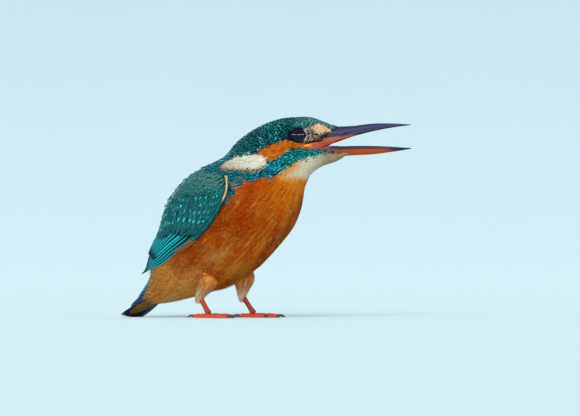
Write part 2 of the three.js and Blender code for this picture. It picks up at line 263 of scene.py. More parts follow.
def tail_point(a, b):
    """A point of the tail: a from root to tip, b from the right edge to the left one.

    The feathers run straight back, half the tail's width times b to the side, and their edges hang by
    arch times b squared; then the tail is rolled, drooped and turned with the trunk.
    """
    run = -a * TAIL["length"]
    side = along(TAIL["half"], a) * b
    rise = -TAIL["arch"] * b * b
    roll, droop = TAIL["roll"], TAIL["droop"]
    y = side * np.cos(roll) - rise * np.sin(roll)
    z = side * np.sin(roll) + rise * np.cos(roll)
    x = run * np.cos(droop) - z * np.sin(droop)
    z = run * np.sin(droop) + z * np.cos(droop)
    return turned(np.stack([x + TAIL["root"][0], y, z + TAIL["root"][1]], -1))


def limb_rings(points, radii, rows, columns, grow=0.0):
    """Rings round a smooth path, with the radius read at even steps along it."""
    t = np.linspace(0, 1, rows)
    line = along(np.array(points, float), t)
    way = unit(np.gradient(line, axis=0))
    over = unit(np.cross(way, (0.0, 1.0, 0.0)))
    across = np.cross(over, way)
    radius = along(radii, t) + grow
    angle = full_turn(columns)
    ring = across[:, None] * np.cos(angle)[:, None] + over[:, None] * np.sin(angle)[:, None]
    return line[:, None] + ring * radius[:, None, None]


class Hide:
    """A surface sampled once on a fine grid, so that feathers can read it anywhere.

    read() gives the point, the outward normal and how the point moves with u and with v. Past the
    grid's ends the surface goes on straight.
    """

    def __init__(self, points, u, v, outward=None, around=False):
        self.u, self.v, self.around = u, v, around
        by_u = np.gradient(points, u, axis=0)
        by_v = np.gradient(points, v, axis=1)
        normal = unit(np.cross(by_u, by_v))
        if outward is None:
            outward = points - points.mean(axis=1, keepdims=True)
        normal *= np.sign((normal * outward).sum(-1).mean())
        self.table = np.concatenate([points, normal, by_u, by_v], -1)

    def read(self, u, v):
        """Bilinear reading of the table, carried on straight past its ends."""
        if self.around:
            v = self.v[0] + (v - self.v[0]) % (self.v[-1] - self.v[0])
        inside_u = np.clip(u, self.u[0], self.u[-1])
        inside_v = np.clip(v, self.v[0], self.v[-1])
        x = (inside_u - self.u[0]) / (self.u[1] - self.u[0])
        y = (inside_v - self.v[0]) / (self.v[1] - self.v[0])
        i = np.minimum(x.astype(int), len(self.u) - 2)
        j = np.minimum(y.astype(int), len(self.v) - 2)
        x, y = (x - i)[..., None], (y - j)[..., None]
        near, far = (self.table[i, k] * (1 - x) + self.table[i + 1, k] * x for k in (j, j + 1))
        found = near * (1 - y) + far * y
        point, normal, by_u, by_v = (found[..., k : k + 3] for k in (0, 3, 6, 9))
        point = point + by_u * (u - inside_u)[..., None] + by_v * (v - inside_v)[..., None]
        return point, unit(normal), by_u, by_v


def sampled(place, u_span, v_span, counts, outward=None, around=False):
    """A Hide of place(u, v) over even steps of both."""
    u, v = np.linspace(*u_span, counts[0]), np.linspace(*v_span, counts[1])
    points = place(*grid(u, v))
    return Hide(points, u, v, outward, around)


BODY = sampled(body_point, (0, LAST), (-180, 180), (451, 361), around=True)
FACE_ANGLE = np.radians(BODY.v)
# Before the face's edge, feathers lie on the root of the bill: forwards, and in towards it.
BODY.table[0, :, 6:9] = np.stack([
    0 * FACE_ANGLE - 6.0,
    0.6 * np.sin(FACE_ANGLE),
    0.9 * np.maximum(np.cos(FACE_ANGLE), 0) + 0.2 * np.minimum(np.cos(FACE_ANGLE), 0),
], -1)
WINGS = {
    side: sampled(
        lambda a, b, s=sign: wing_point(s, a, b, out=1.0),
        (0.004, 0.996), (-0.97, 0.97), (241, 121), outward=np.array([0.0, sign, 0.4]),
    )
    for side, sign in SIDES.items()
}
TAIL_TOP, TAIL_FOOT = (
    sampled(tail_point, (0, 1), (-1, 1), (61, 61), outward=np.array([0, 0, up])) for up in (1.0, -1.0)
)

# ---------------------------------------------------------------- meshes from arrays


class Shape:
    """Points, faces as one flat list of corners with their sizes, and what each point carries."""

    def __init__(self, points, corners, sizes, carried=None):
        self.points = np.asarray(points, float).reshape(-1, 3)
        self.corners = np.asarray(corners, int).ravel()
        self.sizes = np.asarray(sizes, int).ravel()
        self.carried = carried or {}

    def outward(self):
        """Turns every face round if the signed volume over all the faces is negative."""
        starts = np.cumsum(self.sizes) - self.sizes
        first = self.points[self.corners[starts]]
        volume = 0.0
        for k in range(1, self.sizes.max() - 1):
            there = self.sizes > k + 1
            a, b = (self.points[self.corners[starts[there] + k + n]] for n in (0, 1))
            volume += (first[there] * np.cross(a, b)).sum()
        if volume < 0:
            owner = np.repeat(np.arange(len(self.sizes)), self.sizes)
            place = np.arange(len(self.corners)) - starts[owner]
            self.corners = self.corners[starts[owner] + self.sizes[owner] - 1 - place]
        return self


def joined(shapes):
    """Several shapes as one, with what their points carry."""
    shift = np.cumsum([0] + [len(s.points) for s in shapes[:-1]])
    names = shapes[0].carried.keys()
    return Shape(
        np.concatenate([s.points for s in shapes]),
        np.concatenate([s.corners + d for s, d in zip(shapes, shift)]),
        np.concatenate([s.sizes for s in shapes]),
        {name: np.concatenate([s.carried[name] for s in shapes]) for name in names},
    )


def closed_faces(rings, columns):
    """Corners and sizes of a closed skin: a pole, rings of quads one after another, and a pole."""
    j = np.arange(columns)
    after = (j + 1) % columns
    quads = []
    if rings > 1:
        k = np.arange(rings - 1)[:, None] * columns + 1
        quads = np.stack([k + j, k + columns + j, k + columns + after, k + after], -1).reshape(-1, 4)
    last = 1 + (rings - 1) * columns
    start = np.stack([0 * j, 1 + j, 1 + after], -1)
    end = np.stack([0 * j + 1 + rings * columns, last + after, last + j], -1)
    corners = np.concatenate([start.ravel(), np.asarray(quads, int).ravel(), end.ravel()])
    sizes = np.concatenate([np.full(columns, 3), np.full(len(quads), 4), np.full(columns, 3)])
    return corners, sizes


def lofted(rings, start, end, carried=None):
    """A closed skin over rings (rows by columns), with a point at each end."""
    rows, columns = rings.shape[:2]
    corners, sizes = closed_faces(rows, columns)
    points = np.concatenate([[start], rings.reshape(-1, 3), [end]])
    return Shape(points, corners, sizes, carried).outward()


def with_ends(values):
    """What the rings carry, with a value of its own for each end point."""
    flat = values.reshape(-1, values.shape[-1])
    return np.concatenate([flat[:1], flat, flat[-1:]])


def capped(rings, colour=None):
    """A closed skin over rings, its ends at the middles of the first and last, with each point's colour."""
    carried = None if colour is None else {"ground": with_ends(colour)}
    return lofted(rings, rings[0].mean(0), rings[-1].mean(0), carried)


def in_scene(name, data):
    """A new object of that name and data, linked into the scene."""
    made = bpy.data.objects.new(name, data)
    bpy.context.scene.collection.objects.link(made)
    return made


def put(name, shape, finish, replaces=()):
    """Makes the mesh object, gives it its finish, and rides it on the bird."""
    mesh = bpy.data.meshes.new(name)
    points = placed(shape.points)
    points[:, 2] = np.maximum(points[:, 2], 0)
    mesh.vertices.add(len(points))
    mesh.vertices.foreach_set("co", points.astype(np.float32).ravel())
    mesh.loops.add(len(shape.corners))
    mesh.loops.foreach_set("vertex_index", shape.corners.astype(np.int32))
    mesh.polygons.add(len(shape.sizes))
    mesh.polygons.foreach_set("loop_start", (np.cumsum(shape.sizes) - shape.sizes).astype(np.int32))
    mesh.polygons.foreach_set("use_smooth", np.ones(len(shape.sizes), bool))
    mesh.update(calc_edges=True)
    for key, values in shape.carried.items():
        if values.shape[1] == 2:
            layer = mesh.uv_layers.new(name=key)
            layer.data.foreach_set("uv", values[shape.corners].astype(np.float32).ravel())
        else:
            layer = mesh.attributes.new(key, "FLOAT_COLOR", "POINT")
            rgba = np.concatenate([values, np.ones((len(values), 1))], -1)
            layer.data.foreach_set("color", rgba.astype(np.float32).ravel())
    mesh.materials.append(finish)
    piece = in_scene(name, mesh)
    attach(piece, "root")
    if replaces:
        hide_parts(*replaces)


def read_back(items, key, kind, width=1):
    """One flat array of a value of each of the mesh's points, corners or faces."""
    values = np.empty(len(items) * width, kind)
    items.foreach_get(key, values)
    return values


def fused(shape, voxel):
    """One skin round overlapping closed shapes: a voxel remesh, then a light smoothing."""
    mesh = bpy.data.meshes.new("rough")
    faces = np.split(shape.corners, np.cumsum(shape.sizes)[:-1])
    mesh.from_pydata(shape.points.tolist(), [], [f.tolist() for f in faces])
    rough = in_scene("rough", mesh)
    remesh = rough.modifiers.new("fuse", "REMESH")
    remesh.mode = "VOXEL"
    remesh.voxel_size = voxel
    soften = rough.modifiers.new("soften", "SMOOTH")
    soften.factor = 0.5
    soften.iterations = 6
    made = rough.evaluated_get(bpy.context.evaluated_depsgraph_get()).to_mesh()
    fresh = Shape(
        read_back(made.vertices, "co", np.float32, 3),
        read_back(made.loops, "vertex_index", np.int32),
        read_back(made.polygons, "loop_total", np.int32),
    )
    bpy.data.objects.remove(rough)
    bpy.data.meshes.remove(mesh)
    return fresh


# ---------------------------------------------------------------- feathers


class Cut:
    """The outline of one kind of feather: rings along it, each a flat lens across it.

    reach gives where the rings lie from root to tip, width the half width there, and lens the ring's
    corners as shares of the half width and of the thickness. Both ends close in a point.
    """

    def __init__(self, reach, width, lens, thick, camber=0.0):
        self.reach = np.array([0.0, *reach, 1.0])
        self.width = np.array(width, float)
        self.lens = np.array(lens, float)
        self.thick = thick
        self.camber = camber


LOCK_LENS = [(-1, 0), (0, 1), (1, 0)]
VANE_LENS = [(-1, -0.4), (0, 1), (1, -0.4), (0, -0.6)]
BROAD_LENS = [(-1, -0.5), (-0.5, 0.4), (0, 1), (0.5, 0.4), (1, -0.5), (0, -1)]

SCALE = Cut((0.15, 0.45, 0.72, 0.92), (0.4, 0.9, 1.0, 0.62), VANE_LENS, 0.08, camber=0.12)
TUFT = Cut((0.2, 0.55, 0.85), (0.6, 1.0, 0.55), VANE_LENS, 0.08, camber=0.08)
WISP = Cut((0.2, 0.5, 0.8), (0.8, 1.0, 0.6), LOCK_LENS, 0.05)
COVERT = Cut(
    (0.08, 0.25, 0.45, 0.62, 0.78, 0.9, 0.97), (0.35, 0.7, 0.9, 1.0, 0.95, 0.72, 0.42), BROAD_LENS, 0.08,
    camber=0.14,
)
QUILL_REACH = np.concatenate([np.linspace(0.03, 0.9, 16), (0.94, 0.97, 0.99)])


def walk(hide, u, v, lie, bend, length, reach):
    """Midlines that start at the roots and walk down the surface, lie degrees off its u direction.

    Each step solves for the change of u and v that gives the wanted step in the tangent plane; bend
    adds to lie from root to tip.
    """
    us, vs = [u], [v]
    for before, after in zip(reach[:-1], reach[1:]):
        _, normal, by_u, by_v = hide.read(us[-1], vs[-1])
        down = unit(by_u)
        beside = np.cross(normal, down)
        beside *= np.sign((beside * by_v).sum(-1))[..., None]
        angle = np.radians(lie + bend * (before + after) / 2)
        way = down * np.cos(angle)[..., None] + beside * np.sin(angle)[..., None]
        step = length * (after - before)
        e, f, g = ((p * q).sum(-1) for p, q in ((by_u, by_u), (by_u, by_v), (by_v, by_v)))
        p, q = (way * by_u).sum(-1) * step, (way * by_v).sum(-1) * step
        area = np.maximum(e * g - f * f, 1e-9)
        us.append(us[-1] + (g * p - f * q) / area)
        vs.append(vs[-1] + (e * q - f * p) / area)
    return np.stack(us, 1), np.stack(vs, 1)


def clothe(hide, u, v, half, height, cut, ground, mark, own, unwrap, patch=0.003, twist=0.0, flip=None):
    """Closed vanes over midlines u, v (feathers by rings), height off the surface.

    At each ring the lens of the cut is drawn across the midline; its edges hang by the cut's camber.
    The points carry the two colours, the feather's own random number, their place on the vane, and
    their place on the unwrapped skin, where the whole vane is one small patch.
    """
    count = len(u)
    point, normal, _, _ = hide.read(u, v)
    centre = point + normal * height[..., None]
    way = unit(np.gradient(centre, axis=1))
    across = unit(np.cross(normal, way))
    up = np.cross(way, across)
    lean = np.radians(np.broadcast_to(twist, (count,)))[:, None, None]
    across, up = across * np.cos(lean) + up * np.sin(lean), up * np.cos(lean) - across * np.sin(lean)
    w, z = cut.lens.T
    wide = (half[:, None] * cut.width)[:, :, None]
    sides = wide * w
    rises = cut.thick * z - wide * cut.camber * w**2
    rings = (
        centre[:, 1:-1, None]
        + across[:, 1:-1, None] * sides[..., None]
        + up[:, 1:-1, None] * rises[..., None]
    )
    rows, columns = len(cut.width), len(w)
    points = np.concatenate([centre[:, :1], rings.reshape(count, -1, 3), centre[:, -1:]], 1)
    corners, sizes = closed_faces(rows, columns)
    each = rows * columns + 2
    vane = np.concatenate([
        [(0.5, 0.0)],
        np.stack(np.broadcast_arrays(w / 2 + 0.5, cut.reach[1:-1, None]), -1).reshape(-1, 2),
        [(0.5, 1.0)],
    ])
    turned_over = np.zeros(count, bool) if flip is None else flip
    vanes = np.tile(vane, (count, 1, 1))
    vanes[turned_over, :, 0] = 1 - vanes[turned_over, :, 0]
    carried = {
        "vane": vanes.reshape(-1, 2),
        "OFBake": (unwrap[:, None] + (vane[None] - 0.5) * patch).reshape(-1, 2),
        "ground": np.repeat(ground, each, axis=0),
        "mark": np.repeat(mark, each, axis=0),
        "own": np.repeat(np.repeat(own[:, None], 3, 1), each, axis=0),
    }
    all_corners = (np.arange(count)[:, None] * each + corners).ravel()
    return Shape(points, all_corners, np.tile(sizes, count), carried)


def staggered_roots(hide, row_gap, column_gap, rng, jitter=0.25):
    """Roots in staggered rows, like tiles, evenly spread whatever the grid does.

    Down each line of constant v the arc length is measured in row gaps, and every whole number there
    is a row; along each row the arc length is measured in column gaps, and every other row starts
    half a gap later. The gaps, in mm, may change over the surface.
    """
    u, v = grid(hide.u, hide.v)
    between = ((u[1:] + u[:-1]) / 2, (v[1:] + v[:-1]) / 2)
    down = np.linalg.norm(np.diff(hide.table[..., :3], axis=0), axis=-1) / row_gap(*between)
    depth = np.concatenate([np.zeros((1, len(hide.v))), np.cumsum(down, axis=0)])
    us, vs = [], []
    for row in range(int(depth[-1].max()) + 1):
        wanted = row + 0.4
        there = depth[-1] >= wanted
        line = np.array([np.interp(wanted, depth[:, k], hide.u) for k in range(len(hide.v))])
        place = hide.read(line, hide.v)[0]
        gaps = column_gap(line, hide.v)
        pace = np.linalg.norm(np.diff(place, axis=0), axis=-1) / (gaps[1:] + gaps[:-1]) * 2
        width = np.concatenate([[0], np.cumsum(pace)])
        stops = np.arange(0.25 + 0.5 * (row % 2), width[-1], 1.0)
        v_row = np.interp(stops, width, hide.v)
        kept = np.interp(v_row, hide.v, there.astype(float)) > 0.5
        us.append(np.interp(v_row, hide.v, line)[kept])
        vs.append(v_row[kept])
    u, v = np.concatenate(us), np.concatenate(vs)
    _, _, by_u, by_v = hide.read(u, v)
    slip = rng.uniform(-jitter, jitter, (2, len(u)))
    u = u + slip[0] * row_gap(u, v) / np.maximum(np.linalg.norm(by_u, axis=-1), 1e-6)
    v = v + slip[1] * column_gap(u, v) / np.maximum(np.linalg.norm(by_v, axis=-1), 1e-6)
    return u, v


def even(gap):
    """A gap that is the same all over."""
    return lambda u, v: gap + 0 * u


def by_section(table):
    """A value that depends only on the section, read off a short table."""
    table = np.array(table, float)
    return lambda u, v: np.interp(u, table[:, 0], table[:, 1])


# ---------------------------------------------------------------- markings

# Outlines on the head as (section, degrees from the back), the same on both sides.
LORE_SPOT = [
    (1.98, 65.5), (2.03, 54), (1.3, 38), (0.65, 39.2), (0.1, 42), (-0.25, 50), (-0.42, 60), (-0.25, 66),
    (0.3, 70), (1.1, 71.5), (1.78, 71),
]
LORES = [
    (0, 40), (0.3, 74), (1.75, 76), (2.0, 52), (2.7, 54), (3.1, 66), (3.25, 80), (3.1, 87.5), (2.14, 89.5),
    (0.95, 88), (0, 84),
]
EAR = [
    (0, 97), (0.87, 96.5), (2.16, 93.5), (2.83, 90.5), (3.13, 86), (3.68, 81), (4.1, 72), (4.8, 68),
    (5.34, 65.5), (5.76, 67), (5.55, 85), (5.18, 86.5), (4.69, 88.5), (4.12, 85.5), (3.18, 94),
    (1.22, 107.5), (0, 109),
]
JAW = [(0.3, 124), (1.06, 125.5), (2.13, 121), (3.16, 114), (4.14, 109.5), (4.79, 108.5), (5.59, 106)]
CHEEK = [
    (0.3, 116), (0.92, 112.5), (3.2, 95.5), (4.13, 86), (4.65, 90), (5.52, 87), (6.04, 87), (6.6, 89),
    (6.17, 103), *JAW[::-1],
]
THROAT = [(-1, 117), *JAW, (5.85, 112.5), (5.46, 126.5), (4.42, 147), (3.7, 165), (3.4, 182), (-1, 182)]
NECK_PATCH = [
    (7.29, 43.5), (7.03, 38.5), (6.58, 45.5), (6.1, 58), (5.75, 68), (5.56, 77.5), (5.55, 85), (5.92, 86.5),
    (6.34, 83.5), (6.57, 75.5), (6.87, 64), (7.13, 56.5),
]
BARE = [
    (3.06, 90.5), (2.75, 89), (2.19, 90), (1.01, 87.2), (0.3, 88), (-1, 88), (-1, 150), (0.3, 150),
    (0.67, 132.5), (0.89, 120.5), (1.05, 115.8), (1.49, 110), (2.31, 102.5), (2.91, 94.5),
]
OUTLINES = {
    "throat": THROAT, "cheek": CHEEK, "ear": EAR, "patch": NECK_PATCH, "lores": LORES, "spot": LORE_SPOT,
    "bare": BARE,
}
HEAD_SCALE = np.array([6.5, 0.24])  # mm for each section and for each degree, about the head

# How far down the side the blue-green reaches, and the bright blue of the back, by section.
GREEN_EDGE = np.array([
    (0, 100), (3.1, 100), (5.5, 108), (5.9, 108.5), (6.5, 96.5), (6.95, 88), (7.4, 85), (8.05, 89.5),
    (8.3, 90), (9.5, 84), (11.3, 68), (12.4, 58), (13.4, 46), (14.3, 66), (15, 106), (15.6, 114),
])
BLUE_EDGE = np.array([(7.4, 0), (8.2, 9), (9.5, 14), (11, 17), (13, 26), (14.3, 58), (15, 104), (15.6, 112)])


def within(outline, section, degrees):
    """Signed distance in mm to an outline on the head, positive inside it.

    The distance is to the nearest point of its edges, and a point is inside if a line from it crosses
    the edges an odd number of times.
    """
    place = np.stack([section, np.abs(degrees)], -1)[:, None] * HEAD_SCALE
    start = np.array(outline, float) * HEAD_SCALE
    end = np.roll(start, -1, axis=0)
    edge = end - start
    share = ((place - start) * edge).sum(-1) / np.maximum((edge**2).sum(-1), 1e-9)
    nearest = start + edge * np.clip(share, 0, 1)[..., None]
    distance = np.linalg.norm(place - nearest, axis=-1).min(axis=1)
    crosses = (start[:, 1] > place[..., 1]) != (end[:, 1] > place[..., 1])
    rise = np.where(np.abs(edge[:, 1]) < 1e-9, 1e-9, edge[:, 1])
    where = start[:, 0] + edge[:, 0] * (place[..., 1] - start[:, 1]) / rise
    inside = (crosses & (place[..., 0] < where)).sum(axis=1) % 2
    return np.where(inside, distance, -distance)


def mottle(points, size, seed):
    """Soft random patches from -1 to 1, about size mm across: a sum of sine waves in random directions."""
    rng = np.random.default_rng(seed)
    waves = unit(rng.normal(size=(9, 3))) * rng.uniform(0.6, 1.5, (9, 1)) * np.pi / size
    return np.sin(points @ waves.T + rng.uniform(0, 2 * np.pi, 9)).sum(-1) / 4.2


def paint(red, green, blue):
    """A display colour, 0 to 255, as linear light."""
    value = np.array([red, green, blue]) / 255
    return np.where(value < 0.04045, value / 12.92, ((value + 0.055) / 1.055) ** 2.4)


KINDS = {name: k for k, name in enumerate(("rust", "crown", "shoulder", "azure", *OUTLINES))}


def kind_of(section, degrees):
    """Which kind of feather grows at a place of the body."""
    side = np.abs(degrees)
    kind = np.full(section.shape, KINDS["rust"])
    green = side < np.interp(section, *GREEN_EDGE.T)
    kind[green] = KINDS["crown"]
    kind[green & (section > 6.6 - 0.012 * (side - 40))] = KINDS["shoulder"]
    kind[(side < np.interp(section, *BLUE_EDGE.T)) & (section > BLUE_EDGE[0, 0])] = KINDS["azure"]
    for name, outline in OUTLINES.items():
        kind[within(outline, section, degrees) > 0] = KINDS[name]
    return kind


GAPE_ORANGE = paint(184, 68, 0)
BUFF, AMBER, RUST, DEEP_RUST = paint(240, 166, 76), paint(236, 132, 8), paint(220, 80, 0), paint(168, 44, 0)
MAROON, VENT, OLIVE, BROWN = paint(132, 52, 24), paint(250, 172, 88), paint(186, 150, 104), paint(128, 92, 64)
CREAM, WHITE, GREY = paint(232, 208, 166), paint(255, 246, 226), paint(150, 150, 148)
TEAL_DARK, TEAL, TEAL_BRIGHT = paint(5, 56, 68), paint(6, 96, 104), paint(60, 214, 200)
SEA_DARK, SEA = paint(2, 78, 94), paint(2, 124, 140)
AZURE_DARK, AZURE = paint(8, 84, 150), paint(36, 166, 226)
COBALT, INK = paint(18, 66, 128), paint(20, 24, 34)


# Pale patches on the belly: middle as (x, z), reach along and across the coat, strength.
PALE_PATCHES = ((-11.4, 30.7, 6.5, 2.4, 0.65), (-1.2, 24.1, 5.0, 2.0, 0.45), (-27, 17, 7.0, 4.0, 0.4))
COAT_SLANT = np.array([(0.88, -0.47), (0.47, 0.88)])


def rust_colours(section, degrees, points):
    """The orange of the under parts, from amber at the throat through rust to pale buff at the vent.

    Soft patches and long thin streaks, which are patches drawn out along the coat, make it uneven.
    Painted shade darkens the keel of breast and belly, the breast's front and a band below the
    wing's lower edge, and pale flecks on the breast's front are painted glints.
    """
    side = np.abs(degrees)
    own = np.random.default_rng(18).random(len(section))
    streak = mottle(np.stack([degrees * 0.42, section * 2.4, 0 * section], -1), 1.5, 12)
    flank = smooth(section, 6.6, 8.2) * smooth(section, 12.8, 10.5) * smooth(side, 164, 118)
    # Painted shade: maroon along the keel of breast and belly, the under side that turns from the light.
    keel_shade = smooth(side, 150, 176) * smooth(section, 5.2, 7) * smooth(section, 12, 9)
    gold = smooth(mottle(points, 5, 2), 0.2, 1.0) * smooth(section, 8.5, 10.5) * smooth(side, 88, 108)
    ground = layered(
        RUST,
        (AMBER, smooth(mottle(points, 9, 1), -0.6, 1.0)),
        (AMBER, smooth(section, 8.8, 5.4) * smooth(side, 96, 126)),
        (BUFF, 0.4 * smooth(section, 6.2, 5.0) * smooth(side, 110, 140)),
        (DEEP_RUST, np.clip(0.62 + 0.3 * mottle(points, 5, 4), 0, 1) * flank),
        (MAROON, 0.5 * keel_shade),
        (VENT, 0.95 * smooth(section, 10.8, 12.8)),
        (AMBER, 0.6 * smooth(mottle(points, 6, 8), 0.1, 0.9) * smooth(section, 11, 12.5)),
        (BUFF, 0.6 * gold),
        (DEEP_RUST, 0.5 * smooth(streak, -0.1, -1.0)),
        (lerp(AMBER, BUFF, 0.6), 0.5 * smooth(streak, 0.2, 1.1)),
    )
    for x, z, long, wide, share in PALE_PATCHES:
        away = np.stack([points[:, 0] - x, points[:, 2] - z]).T @ COAT_SLANT
        ground = lerp(ground, lerp(BUFF, CREAM, 0.12), share * np.exp(-((away / (long, wide)) ** 2).sum(-1)))
    pale_tips = smooth(section, 12.2, 13.5) * smooth(side, 118, 145) * (own > 0.5)
    # Painted shade and painted glints on the breast's front: maroon flecks darken it, cream flecks stand for
    # glints.
    front = smooth(side, 142, 164) * smooth(section, 5.2, 6.2) * smooth(section, 10.5, 8.5)
    # Painted shadow of the wing: the coat is darkened in a band just below the wing's lower edge.
    gap = side - np.interp(section, *WING_LOWER.T)
    shade = smooth(gap, 4, 1) * smooth(section, 7.6, 8.4) * smooth(section, 11.2, 10.2)
    return layered(
        ground,
        (CREAM, 0.5 * pale_tips),
        (MAROON * 0.8, 0.6 * front * smooth(mottle(points, 1.5, 16), 0.0, 0.9)),
        (CREAM, 0.5 * front * smooth(mottle(points, 1.3, 15), 0.5, 1.1)),
        (OLIVE, 0.5 * smooth(section, 13.4, 14.6) * smooth(side, 130, 80)),
        (BROWN, 0.8 * smooth(section, 14.2, 15) * smooth(side, 60, 140)),
        (MAROON * 0.4, 0.7 * shade),
    )


def coat_colours(kind, section, degrees, points, rng):
    """Ground and mark of each feather, from its kind and its place."""
    side = np.abs(degrees)
    ground, mark = np.empty((2, len(section), 3))
    n = mottle(points, 4, 3)[:, None] * 0.5 + 0.5
    rust = rust_colours(section, degrees, points)
    near = smooth(section, 4.6, 6.2)
    fine = smooth(mottle(points, 1.1, 7), -0.5, 0.7)
    gleam = (0.1 + 0.6 * n[:, 0]) * (1 - 0.6 * smooth(section, 4, 6.4)) * 2.2 * rng.random(len(section)) ** 3
    # Painted sheen: the sides of the forehead get a greyer ground and paler marks, standing for light
    # glancing off them.
    brow_sheen = smooth(section, 3.8, 1.2) * smooth(side, 66, 40) * smooth(side, 4, 26)
    strand = rng.random((len(section), 1))
    pale = np.where(strand < 0.76, paint(162, 120, 98), paint(232, 206, 180))
    lore = np.where(strand < 0.42, INK * 0.4, pale)
    wedge = np.maximum(
        smooth(within(LORE_SPOT, section, degrees), -1.9, -0.8) * smooth(section, 1.6, 1.1),
        smooth(within(BARE, section, degrees), -1.2, -0.4),
    )
    lore = lerp(lore, TEAL_DARK * 0.3, wedge)
    tan = smooth(section, 6.2, 7.1)
    ruddy = smooth(mottle(points, 1.5, 17), -0.1, 0.8) * smooth(section, 1.5, 3.5)
    dusk = smooth(section, 3.0, 0.8)
    looks = {
        "rust": (
            lerp(rust, DEEP_RUST, 0.35 * rng.random(len(section)) ** 2),
            lerp(rust, lerp(AMBER, BUFF, 0.4), 0.5 * rng.random(len(section)) ** 2),
        ),
        "crown": (
            lerp(TEAL_DARK * (0.3 + 0.4 * n), paint(40, 68, 76), brow_sheen),
            lerp(
                lerp(TEAL, TEAL_BRIGHT, np.clip(gleam, 0, 1)),
                paint(176, 220, 208),
                brow_sheen * (0.4 + 0.6 * strand[:, 0]),
            ),
        ),
        "shoulder": (
            lerp(TEAL_DARK, SEA_DARK, 0.5) * (0.8 + 0.4 * n),
            lerp(TEAL, SEA, 0.5) * (0.8 + 0.5 * n),
        ),
        # Painted shade: down the sides of the back the blue darkens towards cobalt.
        "azure": (
            lerp(lerp(AZURE_DARK, COBALT, 0.4 * n[:, 0]), COBALT * 0.5, smooth(side, 40, 70)),
            lerp(lerp(AZURE, AZURE_DARK, 0.25 * n[:, 0]), COBALT * 0.6, 0.92 * smooth(side, 36, 62)),
        ),
        "throat": (
            lerp(lerp(CREAM, WHITE, 0.15) * (0.9 + 0.16 * n), paint(128, 104, 74), 0.9 * dusk),
            lerp(lerp(CREAM, WHITE, 0.5), paint(170, 148, 108), 0.9 * dusk),
        ),
        "cheek": (
            lerp(TEAL_DARK, SEA_DARK, near),
            lerp(paint(24, 176, 172), paint(8, 160, 184), near) * (0.35 + 1.1 * strand**1.5),
        ),
        "ear": (
            lerp(lerp(AMBER, RUST, n[:, 0]), DEEP_RUST, 0.7 * ruddy),
            lerp(lerp(AMBER, BUFF, 0.3), RUST, 0.6 * ruddy),
        ),
        "patch": (lerp(WHITE * 1.05, BUFF, 0.7 * tan), lerp(WHITE * 1.1, CREAM, 0.7 * tan)),
        "lores": (lore * 0.8, lore),
        "spot": (lerp(paint(222, 140, 74), paint(248, 214, 168), fine), paint(250, 216, 172)),
        "bare": (GAPE_ORANGE * 0.7, GAPE_ORANGE),
    }
    for name, (first, second) in looks.items():
        there = kind == KINDS[name]
        ground[there] = np.broadcast_to(first, ground.shape)[there]
        mark[there] = np.broadcast_to(second, ground.shape)[there]
    to_rust = (kind == KINDS["throat"]) * smooth(within(THROAT, section, degrees), 4.2, 0.3)
    to_rust = to_rust * smooth(section, 3.2, 4.8)
    ground, mark = lerp(ground, AMBER, to_rust), lerp(mark, BUFF, to_rust)
    rim = (kind == KINDS["patch"]) * smooth(within(NECK_PATCH, section, degrees), 1.1, 0.1)
    rim = rim * smooth(section + (side - 60) * 0.03, 6.3, 7.0)
    ground, mark = lerp(ground, AMBER, rim), lerp(mark, BUFF, rim)
    chin = (kind == KINDS["cheek"]) * smooth(section, 1.6, 0.4)
    ground, mark = lerp(ground, BROWN, 0.6 * chin), lerp(mark, GREY, 0.7 * chin)
    pied = (kind == KINDS["shoulder"]) * smooth(side, 70, 90) * smooth(section, 8.4, 7.4)
    pied = pied * smooth(mottle(points, 2, 9), 0, 0.8)
    return lerp(ground, RUST, 0.7 * pied), lerp(mark, AMBER, 0.5 * pied)


COAT_DEPTH = np.array([(0, 0.3), (1, 0.45), (3, 0.7), (5, 1.0), (7, 1.4), (9, 1.7), (13, 1.7), (15, 1.2)])


def coat_depth(section):
    """How far the skin lies under the tips of the feathers, in mm."""
    return np.interp(section, *COAT_DEPTH.T)


EYE_CLEAR, EYE_FLOW = 3.7, 9  # mm from the eye's middle: no feather grows inside, none turns outside


def by_eye(u, v, lie, length):
    """Parts the feathers round the eye like water round a post, and shortens them close to it.

    The turn is that of the flow x - r^2 x / d^2 past a circle of radius r, in the tangent plane.
    """
    side = np.where(v < 0, -1, 1)
    point, normal, by_u, by_v = BODY.read(u, v)
    centre = np.stack([np.full(len(u), EYE["x"] + 0.2), side * 10.6, np.full(len(u), EYE["z"])], -1)
    down = unit(by_u)
    beside = np.cross(normal, down)
    beside *= np.sign((beside * by_v).sum(-1))[:, None]
    x, y = (((point - centre) * way).sum(-1) for way in (down, beside))
    x, y = x / 1.12, y / 0.92
    away = np.hypot(x, y)
    radius = EYE_CLEAR
    near = np.maximum(away, radius)
    turn = np.degrees(np.arctan2(
        -2 * x * y * radius**2 / near**4,
        1 - radius**2 * (x * x - y * y) / near**4,
    ))
    turn = np.where(away < EYE_FLOW, turn, 0)
    short = 0.45 + 0.55 * smooth(away, radius, radius + 3.5)
    front = smooth(-x / np.maximum(away, 0.1), 0.3, 0.8)
    return away > radius + 0.15 + 0.6 * front, lie + turn, length * short


def unwrapped(u, v):
    """The body's skin laid flat: section down, degrees across, inside a square."""
    return np.stack([0.03 + 0.94 * ((v + 180) % 360) / 360, 0.03 + 0.94 * u / LAST], -1)


# Rows of feathers on the bill's root: how far before the face's edge, in sections, they repeat the
# rows behind it, which rows those are, and the degrees that end the brow and start the chin.
FRONT_ROWS, FRONT_FROM = (0.3, 0.6), 0.35
BROW_END, CHIN_START = 78, 145


def under_wing(u, v):
    """Whether a place of the body is well covered by the front half of a folded wing."""
    side = np.abs(v)
    low, high = (np.interp(u, *edge.T) for edge in (WING_LOWER, WING_UPPER))
    return (u > 7.8) & (u < 12.0) & (side < low - 7) & (side > high + 7)


